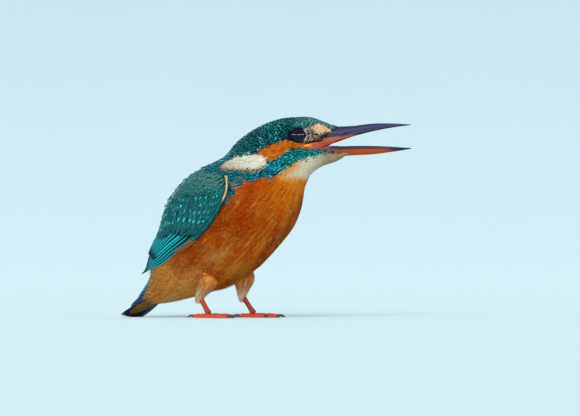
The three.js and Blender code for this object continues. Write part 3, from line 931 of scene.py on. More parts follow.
def coat(kinds, cut, row_gap, column_gap, length, half, seed, lie=None, lift=0.12, root=0.85, jitter=0.25,
         sections=(0, LAST), splay=5.0, bare=under_wing, uneven=0.2, lean=3, ragged=0.05):
    """Feathers of the given kinds over the body, in staggered rows."""
    rng = np.random.default_rng(seed)
    u, v = staggered_roots(BODY, row_gap, column_gap, rng, jitter)
    kept = (u >= sections[0]) & (u <= sections[1])
    u, v = u[kept], v[kept]
    again = (u < FRONT_FROM) & ((np.abs(v) < BROW_END) | (np.abs(v) > CHIN_START)) & (sections[0] <= 0)
    u = np.concatenate([u, *(u[again] - early for early in FRONT_ROWS)])
    v = np.concatenate([v, *(v[again] for early in FRONT_ROWS)])
    count = len(u)
    turn = rng.normal(0, splay, count) + (0 if lie is None else lie(u, v) * np.sign(v))
    reach = length(u, v) * rng.uniform(0.85, 1.15, count)
    clear, turn, reach = by_eye(u, v, turn, reach)
    kept = clear & ~bare(u, v)
    u, v, turn, reach = u[kept], v[kept], turn[kept], reach[kept]
    us, vs = walk(BODY, u, v, turn, rng.normal(0, splay / 2, len(u)), reach, cut.reach)
    shown_u, shown_v = (lerp(w[:, -3], w[:, -1], 0.35) for w in (us, vs))
    shown_v = (shown_v + 180) % 360 - 180
    blur = rng.normal(0, 1, (2, len(u))) * ragged
    kind = kind_of(shown_u + blur[0], shown_v + np.sign(shown_v) * blur[1] * 25)
    kept = np.isin(kind, [KINDS[name] for name in kinds])
    u, v, us, vs, kind = u[kept], v[kept], us[kept], vs[kept], kind[kept]
    shown_u, shown_v = shown_u[kept], shown_v[kept]
    own = rng.random(len(u))
    ground, mark = coat_colours(kind, shown_u, shown_v, BODY.read(shown_u, shown_v)[0], rng)
    shade = (1 - uneven + 2 * uneven * rng.random(len(u)))[:, None]
    depth = coat_depth(u)
    tip = lift * rng.uniform(0.5, 1.5, len(u))
    rise = cut.reach[None] ** 0.75
    chin = 1.1 * smooth(us, 1.4, 0.2) * smooth(np.abs(vs), 135, 156) * (1 - 0.5 * smooth(us, 0.1, -0.8))
    height = -root * depth[:, None] * (1 - rise) + tip[:, None] * rise + chin
    width = half(u, v) * rng.uniform(0.85, 1.15, len(u))
    return clothe(
        BODY, us, vs, width, height, cut, ground * shade, mark * shade, own, unwrapped(u, v),
        twist=rng.normal(0, lean, len(u)),
    )


# ---------------------------------------------------------------- finishes


class Wire:
    """A value in a material's node tree that is added, multiplied and compared like a number."""

    def __init__(self, finish, socket):
        self.finish = finish
        self.socket = socket

    def _math(self, operation, *values):
        return self.finish.node("ShaderNodeMath", {"operation": operation}, dict(enumerate(values)))[0]

    def __add__(self, other):
        return self._math("ADD", self, other)

    def __sub__(self, other):
        return self._math("SUBTRACT", self, other)

    def __rsub__(self, other):
        return self._math("SUBTRACT", other, self)

    def __mul__(self, other):
        return self._math("MULTIPLY", self, other)

    def __truediv__(self, other):
        return self._math("DIVIDE", self, other)

    def __pow__(self, other):
        return self._math("POWER", self, other)

    __radd__ = __add__
    __rmul__ = __mul__

    def __abs__(self):
        return self._math("ABSOLUTE", self)

    def fraction(self):
        return self._math("FRACT", self)

    def wave(self):
        return self._math("SINE", self)

    def least(self, other):
        return self._math("MINIMUM", self, other)

    def most(self, other):
        return self._math("MAXIMUM", self, other)

    def between(self, low, high):
        """0 at low, 1 at high, smoothly, and level beyond them."""
        settings = {"interpolation_type": "SMOOTHSTEP"}
        inputs = {"Value": self, "From Min": low, "From Max": high}
        return self.finish.node("ShaderNodeMapRange", settings, inputs)[0]


class Finish:
    """One material round a Principled shader."""

    def __init__(self, name, **fixed):
        self.material = bpy.data.materials.new(name)
        self.material.use_nodes = True
        self.tree = self.material.node_tree
        self.shader = self.tree.nodes["Principled BSDF"]
        for socket, value in fixed.items():
            self.shader.inputs[socket.replace("_", " ")].default_value = value

    def node(self, kind, settings=None, inputs=None):
        """Adds a node, sets it, fills its sockets with values or wires, and returns its outputs as wires."""
        made = self.tree.nodes.new(kind)
        for key, value in (settings or {}).items():
            setattr(made, key, value)
        for key, value in (inputs or {}).items():
            self.feed(made.inputs[key], value)
        return [Wire(self, socket) for socket in made.outputs]

    def feed(self, socket, value):
        if isinstance(value, Wire):
            self.tree.links.new(value.socket, socket)
        elif socket.type == "RGBA":
            socket.default_value = (*value, 1.0)
        else:
            socket.default_value = value

    def mix(self, first, second, share):
        """A colour between two, by share."""
        made = self.tree.nodes.new("ShaderNodeMix")
        made.data_type = "RGBA"
        self.feed(made.inputs["Factor"], share)
        self.feed(made.inputs[6], first)
        self.feed(made.inputs[7], second)
        return Wire(self, made.outputs[2])

    def scaled(self, colour, amount):
        """A colour times a value."""
        return self.node("ShaderNodeVectorMath", {"operation": "SCALE"}, {0: colour, "Scale": amount})[0]

    def stored(self, name):
        """The colour that each point of the mesh carries under that name."""
        return self.node("ShaderNodeAttribute", {"attribute_name": name})[0]

    def place(self):
        """The point's own place on its piece, in metres."""
        return self.node("ShaderNodeTexCoord")[3]

    def parts(self, vector):
        return self.node("ShaderNodeSeparateXYZ", None, {0: vector})

    def map(self, name):
        """Across and along, from 0 to 1, on the piece's own map."""
        uv = self.node("ShaderNodeUVMap", {"uv_map": name})[0]
        return self.parts(uv)[:2]

    def noise(self, where, size, detail=3.0, stretch=None):
        """Soft noise from 0 to 1, its features about size metres across."""
        if stretch is not None:
            where = self.node("ShaderNodeVectorMath", {"operation": "MULTIPLY"}, {0: where, 1: stretch})[0]
        inputs = {"Vector": where, "Scale": 1 / size, "Detail": detail}
        return self.node("ShaderNodeTexNoise", None, inputs)[0]

    def bump(self, height, depth, strength=1.0):
        inputs = {"Height": height, "Distance": depth, "Strength": strength}
        self.wear(Normal=self.node("ShaderNodeBump", None, inputs)[0])

    def wear(self, **sockets):
        """Links what changes over the surface to the shader."""
        for name, value in sockets.items():
            self.feed(self.shader.inputs[name.replace("_", " ")], value)
        return self.material


def feather_finish(name, start, end, spread, rough=0.5, gloss=0.15, tint=(1, 1, 1), barb=34.0, quill=0.25,
                   edge=0.0, tip_dark=0.0, relief=0.00004, glitter=0.0):
    """A vane: ground colour, a mark of the second colour between start and end of its length, fine barbs
    running out from the quill, and a dark quill line.

    The mark is a product of smooth steps along and across the vane. The barbs are a sine of the place
    along plus a share of the distance from the quill.
    """
    finish = Finish(name, Roughness=rough, Specular_IOR_Level=gloss, Specular_Tint=(*tint, 1))
    across, length = finish.map("vane")
    off = abs(across - 0.5) * 2.0
    own = finish.parts(finish.stored("own"))[0]
    barbs = ((length + off * 0.45) * barb + own * 6.0).wave()
    mark = length.between(*start) * (1.0 - length.between(*end)) * (1.0 - off.between(*spread))
    colour = finish.mix(finish.stored("ground"), finish.stored("mark"), mark)
    line = (1.0 - off.between(0.04, 0.14)) * quill
    dim = (1.0 - line) * (barbs * 0.10 + 0.94) * (1.0 - off.between(0.72, 1.0) * edge)
    dim = dim * (1.0 - length.between(0.86, 1.0) * tip_dark)
    if glitter:  # painted glints: fine grains of barbs made brighter, as if they caught the light
        grains = finish.noise(finish.place(), 0.00055, 2.0).between(0.35, 0.7)
        dim = dim * (grains * glitter + 1.0 - glitter * 0.4)
    finish.bump(barbs * 0.5 + (1.0 - off) * 0.8, relief, 0.6)
    return finish.wear(Base_Color=finish.scaled(colour, dim))


NEVER = (2.0, 2.1)
SEA_GLINT, SKY_GLINT = (0.25, 0.9, 0.85), (0.3, 0.75, 1.0)
CROWN_FINISH = feather_finish(
    "barred_crown", (0.70, 0.77), (0.86, 0.93), (0.4, 0.8), 0.4, 0.25, SEA_GLINT, tip_dark=0.4, glitter=0.5
)
CHEEK_FINISH = feather_finish(
    "streaked_green", (0.5, 0.68), (0.88, 0.96), (0.45, 0.85), 0.4, 0.25, SEA_GLINT, tip_dark=0.4, glitter=0.5
)
SCALE_FINISH = feather_finish(
    "dull_green_scales", (0.5, 0.9), NEVER, (0.9, 1.3), 0.45, 0.2, SEA_GLINT, quill=0.3, edge=0.1, glitter=0.6
)
SOFT_FINISH = feather_finish("soft_pale", (0.35, 0.8), NEVER, NEVER, 0.75, 0.08, quill=0.05, relief=0.00002)
RUST_FINISH = feather_finish("rust_down", (0.5, 1.0), NEVER, NEVER, 0.8, 0.03, quill=0.1, relief=0.00002)
AZURE_FINISH = feather_finish(
    "azure_back", (0.25, 0.5), NEVER, (0.8, 1.2), 0.35, 0.3, SKY_GLINT, edge=0.25, tip_dark=0.2
)
COVERT_FINISH = feather_finish(
    "green_coverts", (0.80, 0.84), (0.90, 0.95), (0.16, 0.40), 0.4, 0.25, SEA_GLINT, barb=60.0, edge=0.1,
    tip_dark=0.1, glitter=0.8, quill=0.1,
)


def quill_finish(name):
    """A flight feather: the second colour on its outer web, the first on its inner one, a black quill
    between them, and fine slanting barbs. Across is 0 at the outer edge."""
    finish = Finish(name, Roughness=0.38, Specular_IOR_Level=0.25, Specular_Tint=(*SEA_GLINT, 1))
    across, length = finish.map("vane")
    own = finish.parts(finish.stored("own"))[0]
    shaft = 0.42
    off = abs(across - shaft)
    barbs = ((length * 3.0 + off) * 60.0 + own * 9.0).wave()
    outer = (1.0 - across.between(shaft - 0.07, shaft - 0.02)) * across.between(0.02, 0.07)
    outer = outer * length.between(0.0, 0.12) * (1.0 - length.between(0.78, 0.95) * 0.97)
    colour = finish.mix(finish.stored("ground"), finish.stored("mark"), outer)
    line = 1.0 - off.between(0.015, 0.045)
    dim = (1.0 - line * 0.8) * (barbs * 0.12 + 0.92)
    finish.bump(barbs * 0.4 + (1.0 - off.between(0.0, 0.1)) * 1.5, 0.00005, 0.7)
    return finish.wear(Base_Color=finish.scaled(colour, dim))


def skin_finish():
    """Skin with short down: the coat's own colours, darker, with a fine pimpled grain."""
    finish = Finish("feathered_skin", Roughness=0.9, Specular_IOR_Level=0.02)
    place = finish.place()
    grain = finish.noise(place, 0.0006)
    down = finish.noise(place, 0.0012, stretch=(1.0, 2.5, 2.0))
    finish.bump(grain + down, 0.0002, 0.8)
    return finish.wear(Base_Color=finish.scaled(finish.stored("ground"), grain * 0.5 + 0.55))


def horn_finish(name, rough, coat, line_size, depth, gloss=0.35):
    """Horn: the mesh's own colours, clouded, with faint growth lines along it and a dull sheen."""
    finish = Finish(name, Roughness=rough, Coat_Weight=coat, Coat_Roughness=0.25, Specular_IOR_Level=gloss)
    place = finish.place()
    lines = finish.noise(place, line_size, 5.0, stretch=(0.25, 1.6, 1.6))
    clouds = finish.noise(place, line_size * 4, 3.0)
    finish.bump(lines, depth, 0.7)
    shade = lines * 0.35 + clouds * 0.35 + 0.65
    return finish.wear(
        Base_Color=finish.scaled(finish.stored("ground"), shade), Roughness=lines * 0.25 + (rough - 0.1)
    )


def leg_finish():
    """Leg skin: orange-red below and dusky above, in small ringed scutes with darker joints."""
    finish = Finish(
        "scaly_leg_skin", Roughness=0.5, Coat_Weight=0.06, Coat_Roughness=0.3, Specular_IOR_Level=0.2
    )
    step, round_it, dusk = finish.parts(finish.stored("scute"))[:3]
    ring = abs(step.fraction() - 0.5) * 2.0
    cell = abs(round_it.fraction() - 0.5) * 2.0
    joint = ring.between(0.72, 1.0).most(cell.between(0.85, 1.0) * 0.5)
    grain = finish.noise(finish.place(), 0.0004)
    colour = finish.mix(finish.stored("ground"), finish.stored("mark"), dusk)
    finish.bump((1.0 - joint) + grain * 0.3, 0.00008, 0.9)
    return finish.wear(Base_Color=finish.scaled(colour, (1.0 - joint * 0.35) * (grain * 0.4 + 0.8)))


def eye_finish():
    """The eye: the mesh's colours of pupil, iris and rim, near black tinted navy as a painted blue
    reflection, finely flecked, under a wet coat.
    """
    finish = Finish("eye_horn", Roughness=0.15, Coat_Weight=0.4, Coat_Roughness=0.03, Specular_IOR_Level=0.03)
    flecks = finish.noise(finish.place(), 0.0003)
    return finish.wear(Base_Color=finish.scaled(finish.stored("ground"), flecks * 0.6 + 0.7))


def paper_finish(name, low, high, reach):
    """Matt paper, one colour on the floor and another from a height of reach metres up, a little mottled."""
    finish = Finish(name, Roughness=0.9, Specular_IOR_Level=0)
    # The mix towards the upper colour with height; the floor uses it as painted shade on the wall.
    climb = (finish.parts(finish.place())[2].most(0.0) / reach).least(1.0) ** 0.43
    clouds = finish.noise(finish.place(), 0.08)
    return finish.wear(Base_Color=finish.scaled(finish.mix(low, high, climb), 1.0 - clouds * 0.015))


# ---------------------------------------------------------------- the skin under the coat


def nearest_place(points, step=6):
    """Section, degrees and signed height over the body for each point, by its nearest grid point."""
    table = BODY.table[::step, ::step]
    u, v = grid(BODY.u[::step], BODY.v[::step])
    there, normal = table[..., :3].reshape(-1, 3), table[..., 3:6].reshape(-1, 3)
    found = np.concatenate([
        (-2 * block @ there.T + (there**2).sum(-1)).argmin(axis=1) for block in np.array_split(points, 24)
    ])
    height = ((points - there[found]) * normal[found]).sum(-1)
    return u.ravel()[found], v.ravel()[found], height


def leg_points(leg, name):
    """The points of a thigh, from hip over knee to ankle, or of a shank, from ankle to foot."""
    hip, ankle, foot = (np.array(leg[key], float) for key in ("hip", "ankle", "foot"))
    if name == "thigh":
        return [hip, (hip + ankle) / 2 + (0.8, 0, 0.6), ankle]
    return [ankle, foot]


def thigh_rings(leg, rows, columns, grow):
    """Rings round a thigh's path, grown by so many mm and turned with the trunk."""
    return turned(limb_rings(leg_points(leg, "thigh"), FLUFF_RADII, rows, columns, grow))


def skin():
    """One skin over head, neck, trunk, thighs and the wings' arms, inside the solids by the coat's depth.

    The body's own rings, moved in along their normals, close at the face in a funnel that is the
    mouth. The arms are lenses in the wings. All are fused into one closed surface, whose colours are
    those of the coat at the nearest place of the body.
    """
    rows, columns = 110, 96
    u, v = grid(np.linspace(0, LAST, rows), np.linspace(-180, 180, columns, endpoint=False))
    point, normal, _, _ = BODY.read(u, v)
    rings = point - normal * coat_depth(u)[..., None]
    mouth = np.array([rings[0] + (THROAT_END - rings[0]) * share for share in (0.7, 0.35)])
    parts = [lofted(np.concatenate([mouth, rings]), THROAT_END, rings[-1].mean(0))]
    parts += [capped(thigh_rings(leg, 24, 24, -0.5)) for leg in LEGS.values()]
    a, angle = grid(np.linspace(0.05, 0.5, 30), full_turn(40))
    for sign in SIDES.values():
        parts.append(capped(wing_point(sign, a, 0.8 * np.cos(angle), out=0.5 * np.sin(angle) - 0.6)))
    made = fused(joined(parts), SKIN_VOXEL)
    section, degrees, height = nearest_place(made.points)
    rng = np.random.default_rng(SKIN_SEED)
    kind = kind_of(section, degrees)
    ground, mark = coat_colours(kind, section, degrees, made.points, rng)
    colour = lerp(ground, mark, 0.3) * 0.75
    inside = smooth(made.points[:, 0], 37, 39) * smooth(height, -1.2, -2.0) * smooth(section, 1.2, 0.3)
    colour = lerp(colour, paint(196, 92, 60), inside)
    thigh = smooth(height, 0.3, 1.2) * smooth(section, 9, 10) * smooth(np.abs(degrees), 95, 110)
    colour = lerp(colour, VENT * 0.8, thigh)
    eye_ring = smooth(np.linalg.norm(made.points - (EYE["x"], 0, EYE["z"]), axis=-1), 12.5, 11.2)
    eye_ring = eye_ring * smooth(np.abs(made.points[:, 1]), 7.0, 8.0)
    off_axis = np.hypot(made.points[:, 0] - EYE["x"], made.points[:, 2] - EYE["z"])
    made.carried = {"ground": lerp(colour, INK, eye_ring * smooth(off_axis, 5.5, 4.5))}
    put(
        "feathered_skin", made, skin_finish(),
        replaces=("head", "neck", "trunk", "thigh_left", "thigh_right"),
    )


# ---------------------------------------------------------------- bill, gape and eyes


def mandible_rings(outer, inner, rows=110, columns=56):
    """Rings of half the bill and, for each point, its share: 1 on the ridge and 0 on the cutting edge.

    Across, the width times rounded sine, narrowed towards the ridge; up, the way from the cutting
    edge to the ridge by share. The inner face is hollowed between its two edges.
    """
    t, angle = grid(np.linspace(0, 1, rows), full_turn(columns))
    top, bottom, width = along(outer, t), along(inner, t), along(BILL_HALF_WIDTH, t)
    share = (1 + rounded(np.cos(angle), 2.2)) / 2
    x = BILL_ROOT_X + (BILL_TIP_X - BILL_ROOT_X) * t
    y = width * (1 - 0.45 * share) * rounded(np.sin(angle), 2.4)
    z = bottom + (top - bottom) * (1.1 * share - 0.1)
    within_edges = np.maximum(0, 1 - (y / np.maximum(0.85 * width, 0.05)) ** 2)
    z = z + (top - bottom) * 0.38 * within_edges * smooth(share, 0.12, 0.0) * smooth(t, 1.0, 0.9)
    return np.stack([x, y, z], -1), share


BILL_DARK, BILL_SLATE_SHEEN, BILL_ORANGE = paint(24, 27, 50), paint(60, 66, 104), paint(182, 66, 4)
GAPE_PINK, LINING = paint(196, 130, 116), paint(212, 96, 66)


def lined(colour, rings, share):
    """Colours of the bill, with the lining laid over the inner face: red at the root, dark at the tip."""
    inner = smooth(share, 0.06, 0.0) * smooth(np.abs(rings[..., 1]), 4.2, 3.0)
    return lerp(colour, lerp(LINING, BILL_DARK, smooth(rings[..., 0], 52, 66)), inner)


def upper_mandible():
    """The upper half: slate black, with a nostril slit and groove at its base and an orange cutting edge."""
    rings, share = mandible_rings(CULMEN, UPPER_TOMIUM)
    x, y = rings[..., 0], rings[..., 1]
    along_slit = x - 50.0
    nostril = np.exp(-((along_slit / 1.6) ** 2) - ((share - 0.52 - along_slit * 0.03) / 0.06) ** 2)
    groove = 0.35 * bell(share, 0.5, 0.08) * smooth(x, 50, 54) * smooth(x, 70, 58)
    rings[..., 1] -= np.sign(y) * (0.35 * nostril + 0.2 * groove)
    orange = smooth(share, 0.32, 0.24) * smooth(x + 8 * share, 60, 54)
    stripe = smooth(share, 0.26, 0.32) * smooth(share, 0.46, 0.40) * smooth(x, 50, 45)
    # Pale slate bands along the upper mandible: partly the horn's own paler ridge, partly painted sheen.
    pale = bell(share, 0.7, 0.15) + 0.4 * bell(share, 0.36, 0.08)
    colour = layered(
        BILL_DARK,
        (BILL_SLATE_SHEEN, 0.95 * np.clip(pale, 0, 1)),
        (paint(84, 58, 70), 0.6 * smooth(x, 51, 43)),
        # Painted shade: a dark line along the groove from the root towards the nostril.
        (BILL_DARK * 0.4, bell(share, 0.5, 0.05) * smooth(x, 56, 50)),
        (BILL_ORANGE * 0.9, orange),
        # Dark red along the cutting edge near the root: partly the mouth's own lining, partly painted shade
        # inside the gape.
        (paint(84, 24, 34), smooth(share, 0.16, 0.08) * smooth(x, 62, 52)),
        (GAPE_PINK * 0.8, 0.7 * stripe),
    )
    # Painted shade: the nostril slit is darkened.
    colour = lerp(lined(colour, rings, share), BILL_DARK * 0.3, nostril)
    put("upper_bill", capped(rings, colour), HORN_FINISH, replaces=("upper_mandible",))


def lower_mandible():
    """The lower half: orange-red, dark along its cutting edge and black towards the tip."""
    rings, share = mandible_rings(GONYS, LOWER_TOMIUM)
    x = rings[..., 0]
    dark = smooth(share, 0.48, 0.38) * smooth(x, 41.5, 45)
    dark = np.maximum(dark, smooth(x + 6 * (0.7 - share), 69, 77))
    colour = lerp(BILL_ORANGE, paint(112, 66, 72), smooth(x, 49.5, 46.5))
    colour = lerp(colour, BILL_DARK * 1.15, dark)
    shape = capped(rings, lined(colour, rings, share))
    put("lower_bill", shape, HORN_FINISH, replaces=("lower_mandible",))


def strip(upper, lower, bulge, colour_at, rows=90, columns=20):
    """Bare skin between two lines on the face: outside, the way from one line to the other, pushed out
    by the bulge times the root of 4s(1 - s); inside, the same way pushed in; closed at both ends."""
    t = np.linspace(0, 1, rows)
    first, last = along(upper, t), along(lower, t)
    angle = full_turn(columns)
    share = (1 - np.cos(angle)) / 2
    rings = first[:, None] + (last - first)[:, None] * share[:, None]
    ends = np.sqrt(np.clip(1 - (2 * t - 1) ** 8, 0, 1))
    outward = unit(np.array([0.25, 1.0, 0.0])) * np.sign(first[0, 1])
    outward[0] = abs(outward[0])
    rings = rings + outward * (bulge * (np.sin(angle) - 0.35) * ends[:, None])[..., None]
    return capped(rings, colour_at(rings, np.broadcast_to(share, rings.shape[:2])))


# The bare face on the left: the lines above and below each strip, as (x, y, z).
FLANGE_TOP = [
    (31.2, 10.5, 84.0), (33, 10.2, 84.7), (36, 9.4, 85.4), (40, 7.3, 86.2), (43, 5.0, 86.9),
    (46.7, 4.25, 87.6), (51.5, 3.4, 88.5), (55.2, 3.0, 89.3),
]
FLANGE_FOOT = [
    (31.2, 10.5, 83.7), (33, 10.2, 83.0), (36, 9.4, 82.7), (40, 7.6, 83.0), (42.8, 5.3, 83.7),
    (46.7, 4.3, 85.9), (51.5, 3.4, 87.5), (55.2, 3.0, 88.8),
]
LIP_TOP = [
    (32.0, 10.4, 83.0), (33.6, 10.1, 82.9), (36.4, 9.3, 82.7), (40, 7.6, 83.0), (43, 5.2, 83.7),
    (46, 4.2, 83.8), (50.5, 3.1, 83.6),
]
LIP_FOOT = [
    (32.0, 10.4, 82.9), (33.6, 10.2, 82.3), (36.4, 9.3, 81.8), (40.2, 7.5, 81.3), (43, 5.9, 80.5),
    (45.4, 4.4, 79.7), (49.5, 1.8, 79.6),
]


def gape(side, sign):
    """The bare skin of the gape: an orange flange up along the upper mandible, and under the mouth's
    corner a pink lip that widens into the root of the lower mandible."""

    def flange(points, share):
        x = points[..., 0]
        wave = share + 0.09 * mottle(points * (0.35, 1.0, 1.0), 1.6, 14)
        # Painted shade: a dark line along the crease down the middle of the flange.
        crease_shade = bell(wave, 0.42, 0.07) * smooth(x, 34, 37) * smooth(x, 47, 43)
        return layered(
            paint(232, 150, 60),
            (GAPE_ORANGE, smooth(x, 31.5, 36)),
            (paint(104, 34, 40), 0.85 * crease_shade),
            (paint(150, 96, 100), bell(wave, 0.8, 0.09) * smooth(x, 32, 34) * smooth(x, 39, 37)),
            # Dark red on the flange's lower part towards the mouth: partly the lining's colour, partly
            # painted shade inside the gape.
            (paint(92, 24, 32), smooth(wave, 0.55, 0.75) * smooth(x, 38, 42)),
        )

    def lip(points, share):
        x = points[..., 0]
        dusk = smooth(share, 0.2, 0.5) * smooth(x, 36, 39)
        mixed = smooth(mottle(points, 0.6, 11), -0.1, 0.5) * dusk
        return layered(
            GAPE_ORANGE,
            (paint(140, 72, 74), smooth(x, 33, 36)),
            (paint(56, 38, 48), dusk),
            (paint(156, 100, 88), 0.6 * mixed),
            (BILL_ORANGE, smooth(share, 0.36, 0.46) * smooth(x, 46, 48.5)),
            (BILL_DARK, smooth(share, 0.4, 0.3) * smooth(x, 42, 45)),
        )

    mirror = np.array([1.0, sign, 1.0])
    shapes = [
        strip(np.array(FLANGE_TOP) * mirror, np.array(FLANGE_FOOT) * mirror, 0.32, flange),
        strip(np.array(LIP_TOP) * mirror, np.array(LIP_FOOT) * mirror, 0.26, lip),
    ]
    put(f"gape_{side}", joined(shapes), GAPE_FINISH)


def eye_axes(sign):
    """The eye's middle, and as unit vectors its outward axis, backwards and down."""
    centre = np.array([EYE["x"], sign * EYE["y"], EYE["z"]])
    axis = unit(np.array([0.10, sign, 0.04]))
    back = unit(np.cross(np.cross(axis, (-1.0, 0, 0)), axis))
    return centre, axis, back, unit(np.array([0, 0, -1.0]) + axis * axis[2])


def eyeball(side, sign):
    """A ball with a clearer bulge over the iris, in rings about the eye's own axis."""
    centre, axis, back, down = eye_axes(sign)
    polar = np.linspace(0, np.pi, 66)[1:-1]
    angle = full_turn(64)
    radius = EYE["radius"] * (1 + 0.02 * smooth(polar, 0.8, 0.0))
    spoke = back * np.cos(angle)[:, None] + down * np.sin(angle)[:, None]
    out, aside = ((turn(polar) * radius)[:, None, None] for turn in (np.cos, np.sin))
    rings = centre + out * axis + aside * spoke
    iris, pupil = 0.78, 0.44
    # Painted reflection: pupil, iris and rim are near black tinted navy, standing for blue sky in the eye.
    colour = lerp(paint(3, 4, 14), paint(13, 15, 38), smooth(polar, pupil - 0.05, pupil + 0.07))
    colour = lerp(colour, paint(8, 12, 40), smooth(polar, iris - 0.12, iris))
    ground = np.broadcast_to(colour[:, None], rings.shape).copy()
    top, foot = centre + axis * radius[0], centre - axis * radius[-1]
    shape = lofted(rings, top, foot, {"ground": with_ends(ground)})
    put(f"eyeball_{side}", shape, EYE_FINISH, replaces=(f"eye_{side}",))


def eyelids(side, sign):
    """A soft rim round the eye: an ellipse in section, carried round an almond-shaped opening.

    The opening's half angle is that of an ellipse wider than it is high, drawn out a little to the
    corner in front. The rim is dark, with a pale edge in front.
    """
    centre, axis, back, down = eye_axes(sign)
    rows, columns = 96, 16
    angle, tube = full_turn(rows), full_turn(columns)
    long, high = 3.75, 3.1
    corner = 0.08 * bell(angle, np.pi, 0.35) + 0.15 * bell(np.minimum(angle, 2 * np.pi - angle), 0, 0.35)
    opening = 1 / np.sqrt((np.cos(angle) / long) ** 2 + (np.sin(angle) / high) ** 2) + corner
    a, b = grid(angle, tube)
    thick, wide = 0.26, 0.42
    spread = opening[:, None] + wide * (1 + np.cos(b)) * 0.8
    off = np.sqrt(np.maximum(EYE["radius"] ** 2 - opening**2, 0))[:, None]
    fall = off - 0.28 * (spread - opening[:, None]) + thick * (np.sin(b) + 0.55)
    spoke = back * np.cos(a)[..., None] + down * np.sin(a)[..., None]
    points = centre + axis * fall[..., None] + spoke * spread[..., None]
    front = smooth(np.abs(a - np.pi - 0.02), 1.0, 0.5) * smooth(np.sin(b), -0.1, 0.6)
    colour = lerp(paint(8, 9, 14), paint(178, 188, 200), front)
    j, k = grid(np.arange(rows) * columns, np.arange(columns))
    nj, nk = (j + columns) % (rows * columns), (k + 1) % columns
    corners = np.stack([j + k, nj + k, nj + nk, j + nk], -1)
    shape = Shape(points, corners, np.full(rows * columns, 4), {"ground": colour.reshape(-1, 3)}).outward()
    put(f"eyelids_{side}", shape, LID_FINISH)


# ---------------------------------------------------------------- legs


def toe_line(side, leg, number):
    """The level line of a toe from the foot: its start and its direction."""
    _, _, turn, start, shift, _ = TOES[number]
    mirrored = 1 if side == "right" else -1
    aim = np.radians(leg["aim"])
    heading = aim + np.radians(turn * mirrored)
    way = np.array([np.cos(heading), np.sin(heading), 0])
    across = np.array([-np.sin(aim), np.cos(aim), 0])
    base = np.array(leg["foot"]) + way * start + across * shift * mirrored
    return base, way


SCUTE_LENGTH, PATH_STEPS = 0.95, 40


def foot(side, leg):
    """Shank and toes of one leg as one skin, flat where it stands, with the places of its scutes.

    Each toe is a limb whose axis is as high as its own radius, less the flat. For every point the
    nearest path gives how many scutes along it lies, how many round it, and whether it faces up.
    """
    paths = [leg_points(leg, "shank")]
    parts = [limb_rings(paths[0], TARSUS_RADII, 26, 24)]
    for number, (length, radius, *_rest) in TOES.items():
        base, way = toe_line(side, leg, number)
        radii = np.array(TOE_SWELL) * radius
        steps = base + way * (length * np.linspace(0, 1, len(radii)))[:, None]
        steps[:, 2] = radii - SOLE_CUT
        inner = base - way * 2.4
        inner[2] = radii[0]
        paths.append([inner, *steps])
        parts.append(limb_rings(paths[-1], [radii[0] * 0.9, *radii], 46, 24))
    made = fused(joined([capped(rings) for rings in parts]), FOOT_VOXEL)
    lines = [along(np.array(path, float), np.linspace(0, 1, PATH_STEPS)) for path in paths]
    spine = np.concatenate(lines)
    reach = np.concatenate([np.cumsum(np.r_[0, np.linalg.norm(np.diff(p, axis=0), axis=1)]) for p in lines])
    away = made.points[:, None] - spine
    found = (away**2).sum(-1).argmin(1)
    off = away[np.arange(len(found)), found]
    upward = smooth(off[:, 2], -0.1, 0.9)
    on_shank = found < PATH_STEPS
    front = smooth(off[:, 0], -0.3, 0.8)
    upward = np.where(on_shank, 0.35 + 0.4 * front, upward)
    step = reach[found] / SCUTE_LENGTH
    saw = np.abs(step % 1 - 0.5) * 2
    swell = 0.07 * (1 - saw**4) * np.clip(upward + 0.3, 0, 1)
    made.points += unit(off) * swell[:, None]
    made.points[:, 2] = np.maximum(made.points[:, 2], 0)
    made.points = turned(made.points)
    dusk = upward * (0.55 + 0.35 * smooth(mottle(made.points, 2.5, 6), -0.4, 0.8))
    # Painted shade: the far, left shank is duskier than the near, right one.
    dusk = np.where(on_shank, 0.75 if side == "left" else 0.6, dusk)
    around = np.arctan2(off[:, 1], off[:, 2]) * 1.6
    made.carried = {
        "scute": np.stack([step, around, dusk], -1),
        "ground": np.broadcast_to(paint(236, 76, 8), made.points.shape).copy(),
        "mark": np.broadcast_to(paint(104, 24, 30), made.points.shape).copy(),
    }
    nodes = [f"tarsus_{side}"] + [f"toe_{number}_{side}" for number in TOES]
    put(f"leg_{side}", made, LEG_FINISH, replaces=nodes)


def claw(side, leg, number):
    """A curved claw: rings that shrink along an arch from the toe's end down to the tip."""
    length, radius, _, _, _, reach = TOES[number]
    base, way = toe_line(side, leg, number)
    height = TOE_SWELL[-1] * radius - SOLE_CUT
    t = np.linspace(0, 1, 26)
    line = base + way * (length - 0.5 + (reach + 0.5) * t)[:, None]
    line[:, 2] = height + 0.55 * np.sin(np.pi * t) * (1 - 0.3 * t) - (height - 0.42) * t**2
    size = radius * (0.66 * (1 - t) ** 0.8 + 0.16 * t)
    run = unit(np.gradient(line, axis=0))
    beside = unit(np.cross(run, (0, 0, 1.0)))
    over = np.cross(beside, run)
    angle = full_turn(20)[:, None]
    ring = beside[:, None] * (0.78 * np.cos(angle)) + over[:, None] * (1.1 * np.sin(angle))
    rings = line[:, None] + ring * size[:, None, None]
    rings[..., 2] = np.maximum(rings[..., 2], 0.03)
    rings = turned(rings)
    colour = lerp(paint(58, 48, 54), paint(20, 20, 26), smooth(t, 0.1, 0.7))
    shape = capped(rings, np.broadcast_to(colour[:, None], rings.shape))
    put(f"claw_horn_{number}_{side}", shape, CLAW_FINISH, replaces=(f"claw_{number}_{side}",))


# ---------------------------------------------------------------- tail and wings

QUILL_LENS = [
    (-1, -0.4), (-0.5, 0.3), (-0.08, 0.8), (0.02, 1.3), (0.1, 0.8), (0.55, 0.3), (1, -0.4), (0, -0.8),
]
QUILL_WIDTH = [0.4, 0.85, 1, 1, 0.96, 0.8, 0.42]
TAIL_FINISH = quill_finish("tail_vanes")
WING_FINISH = quill_finish("wing_vanes")


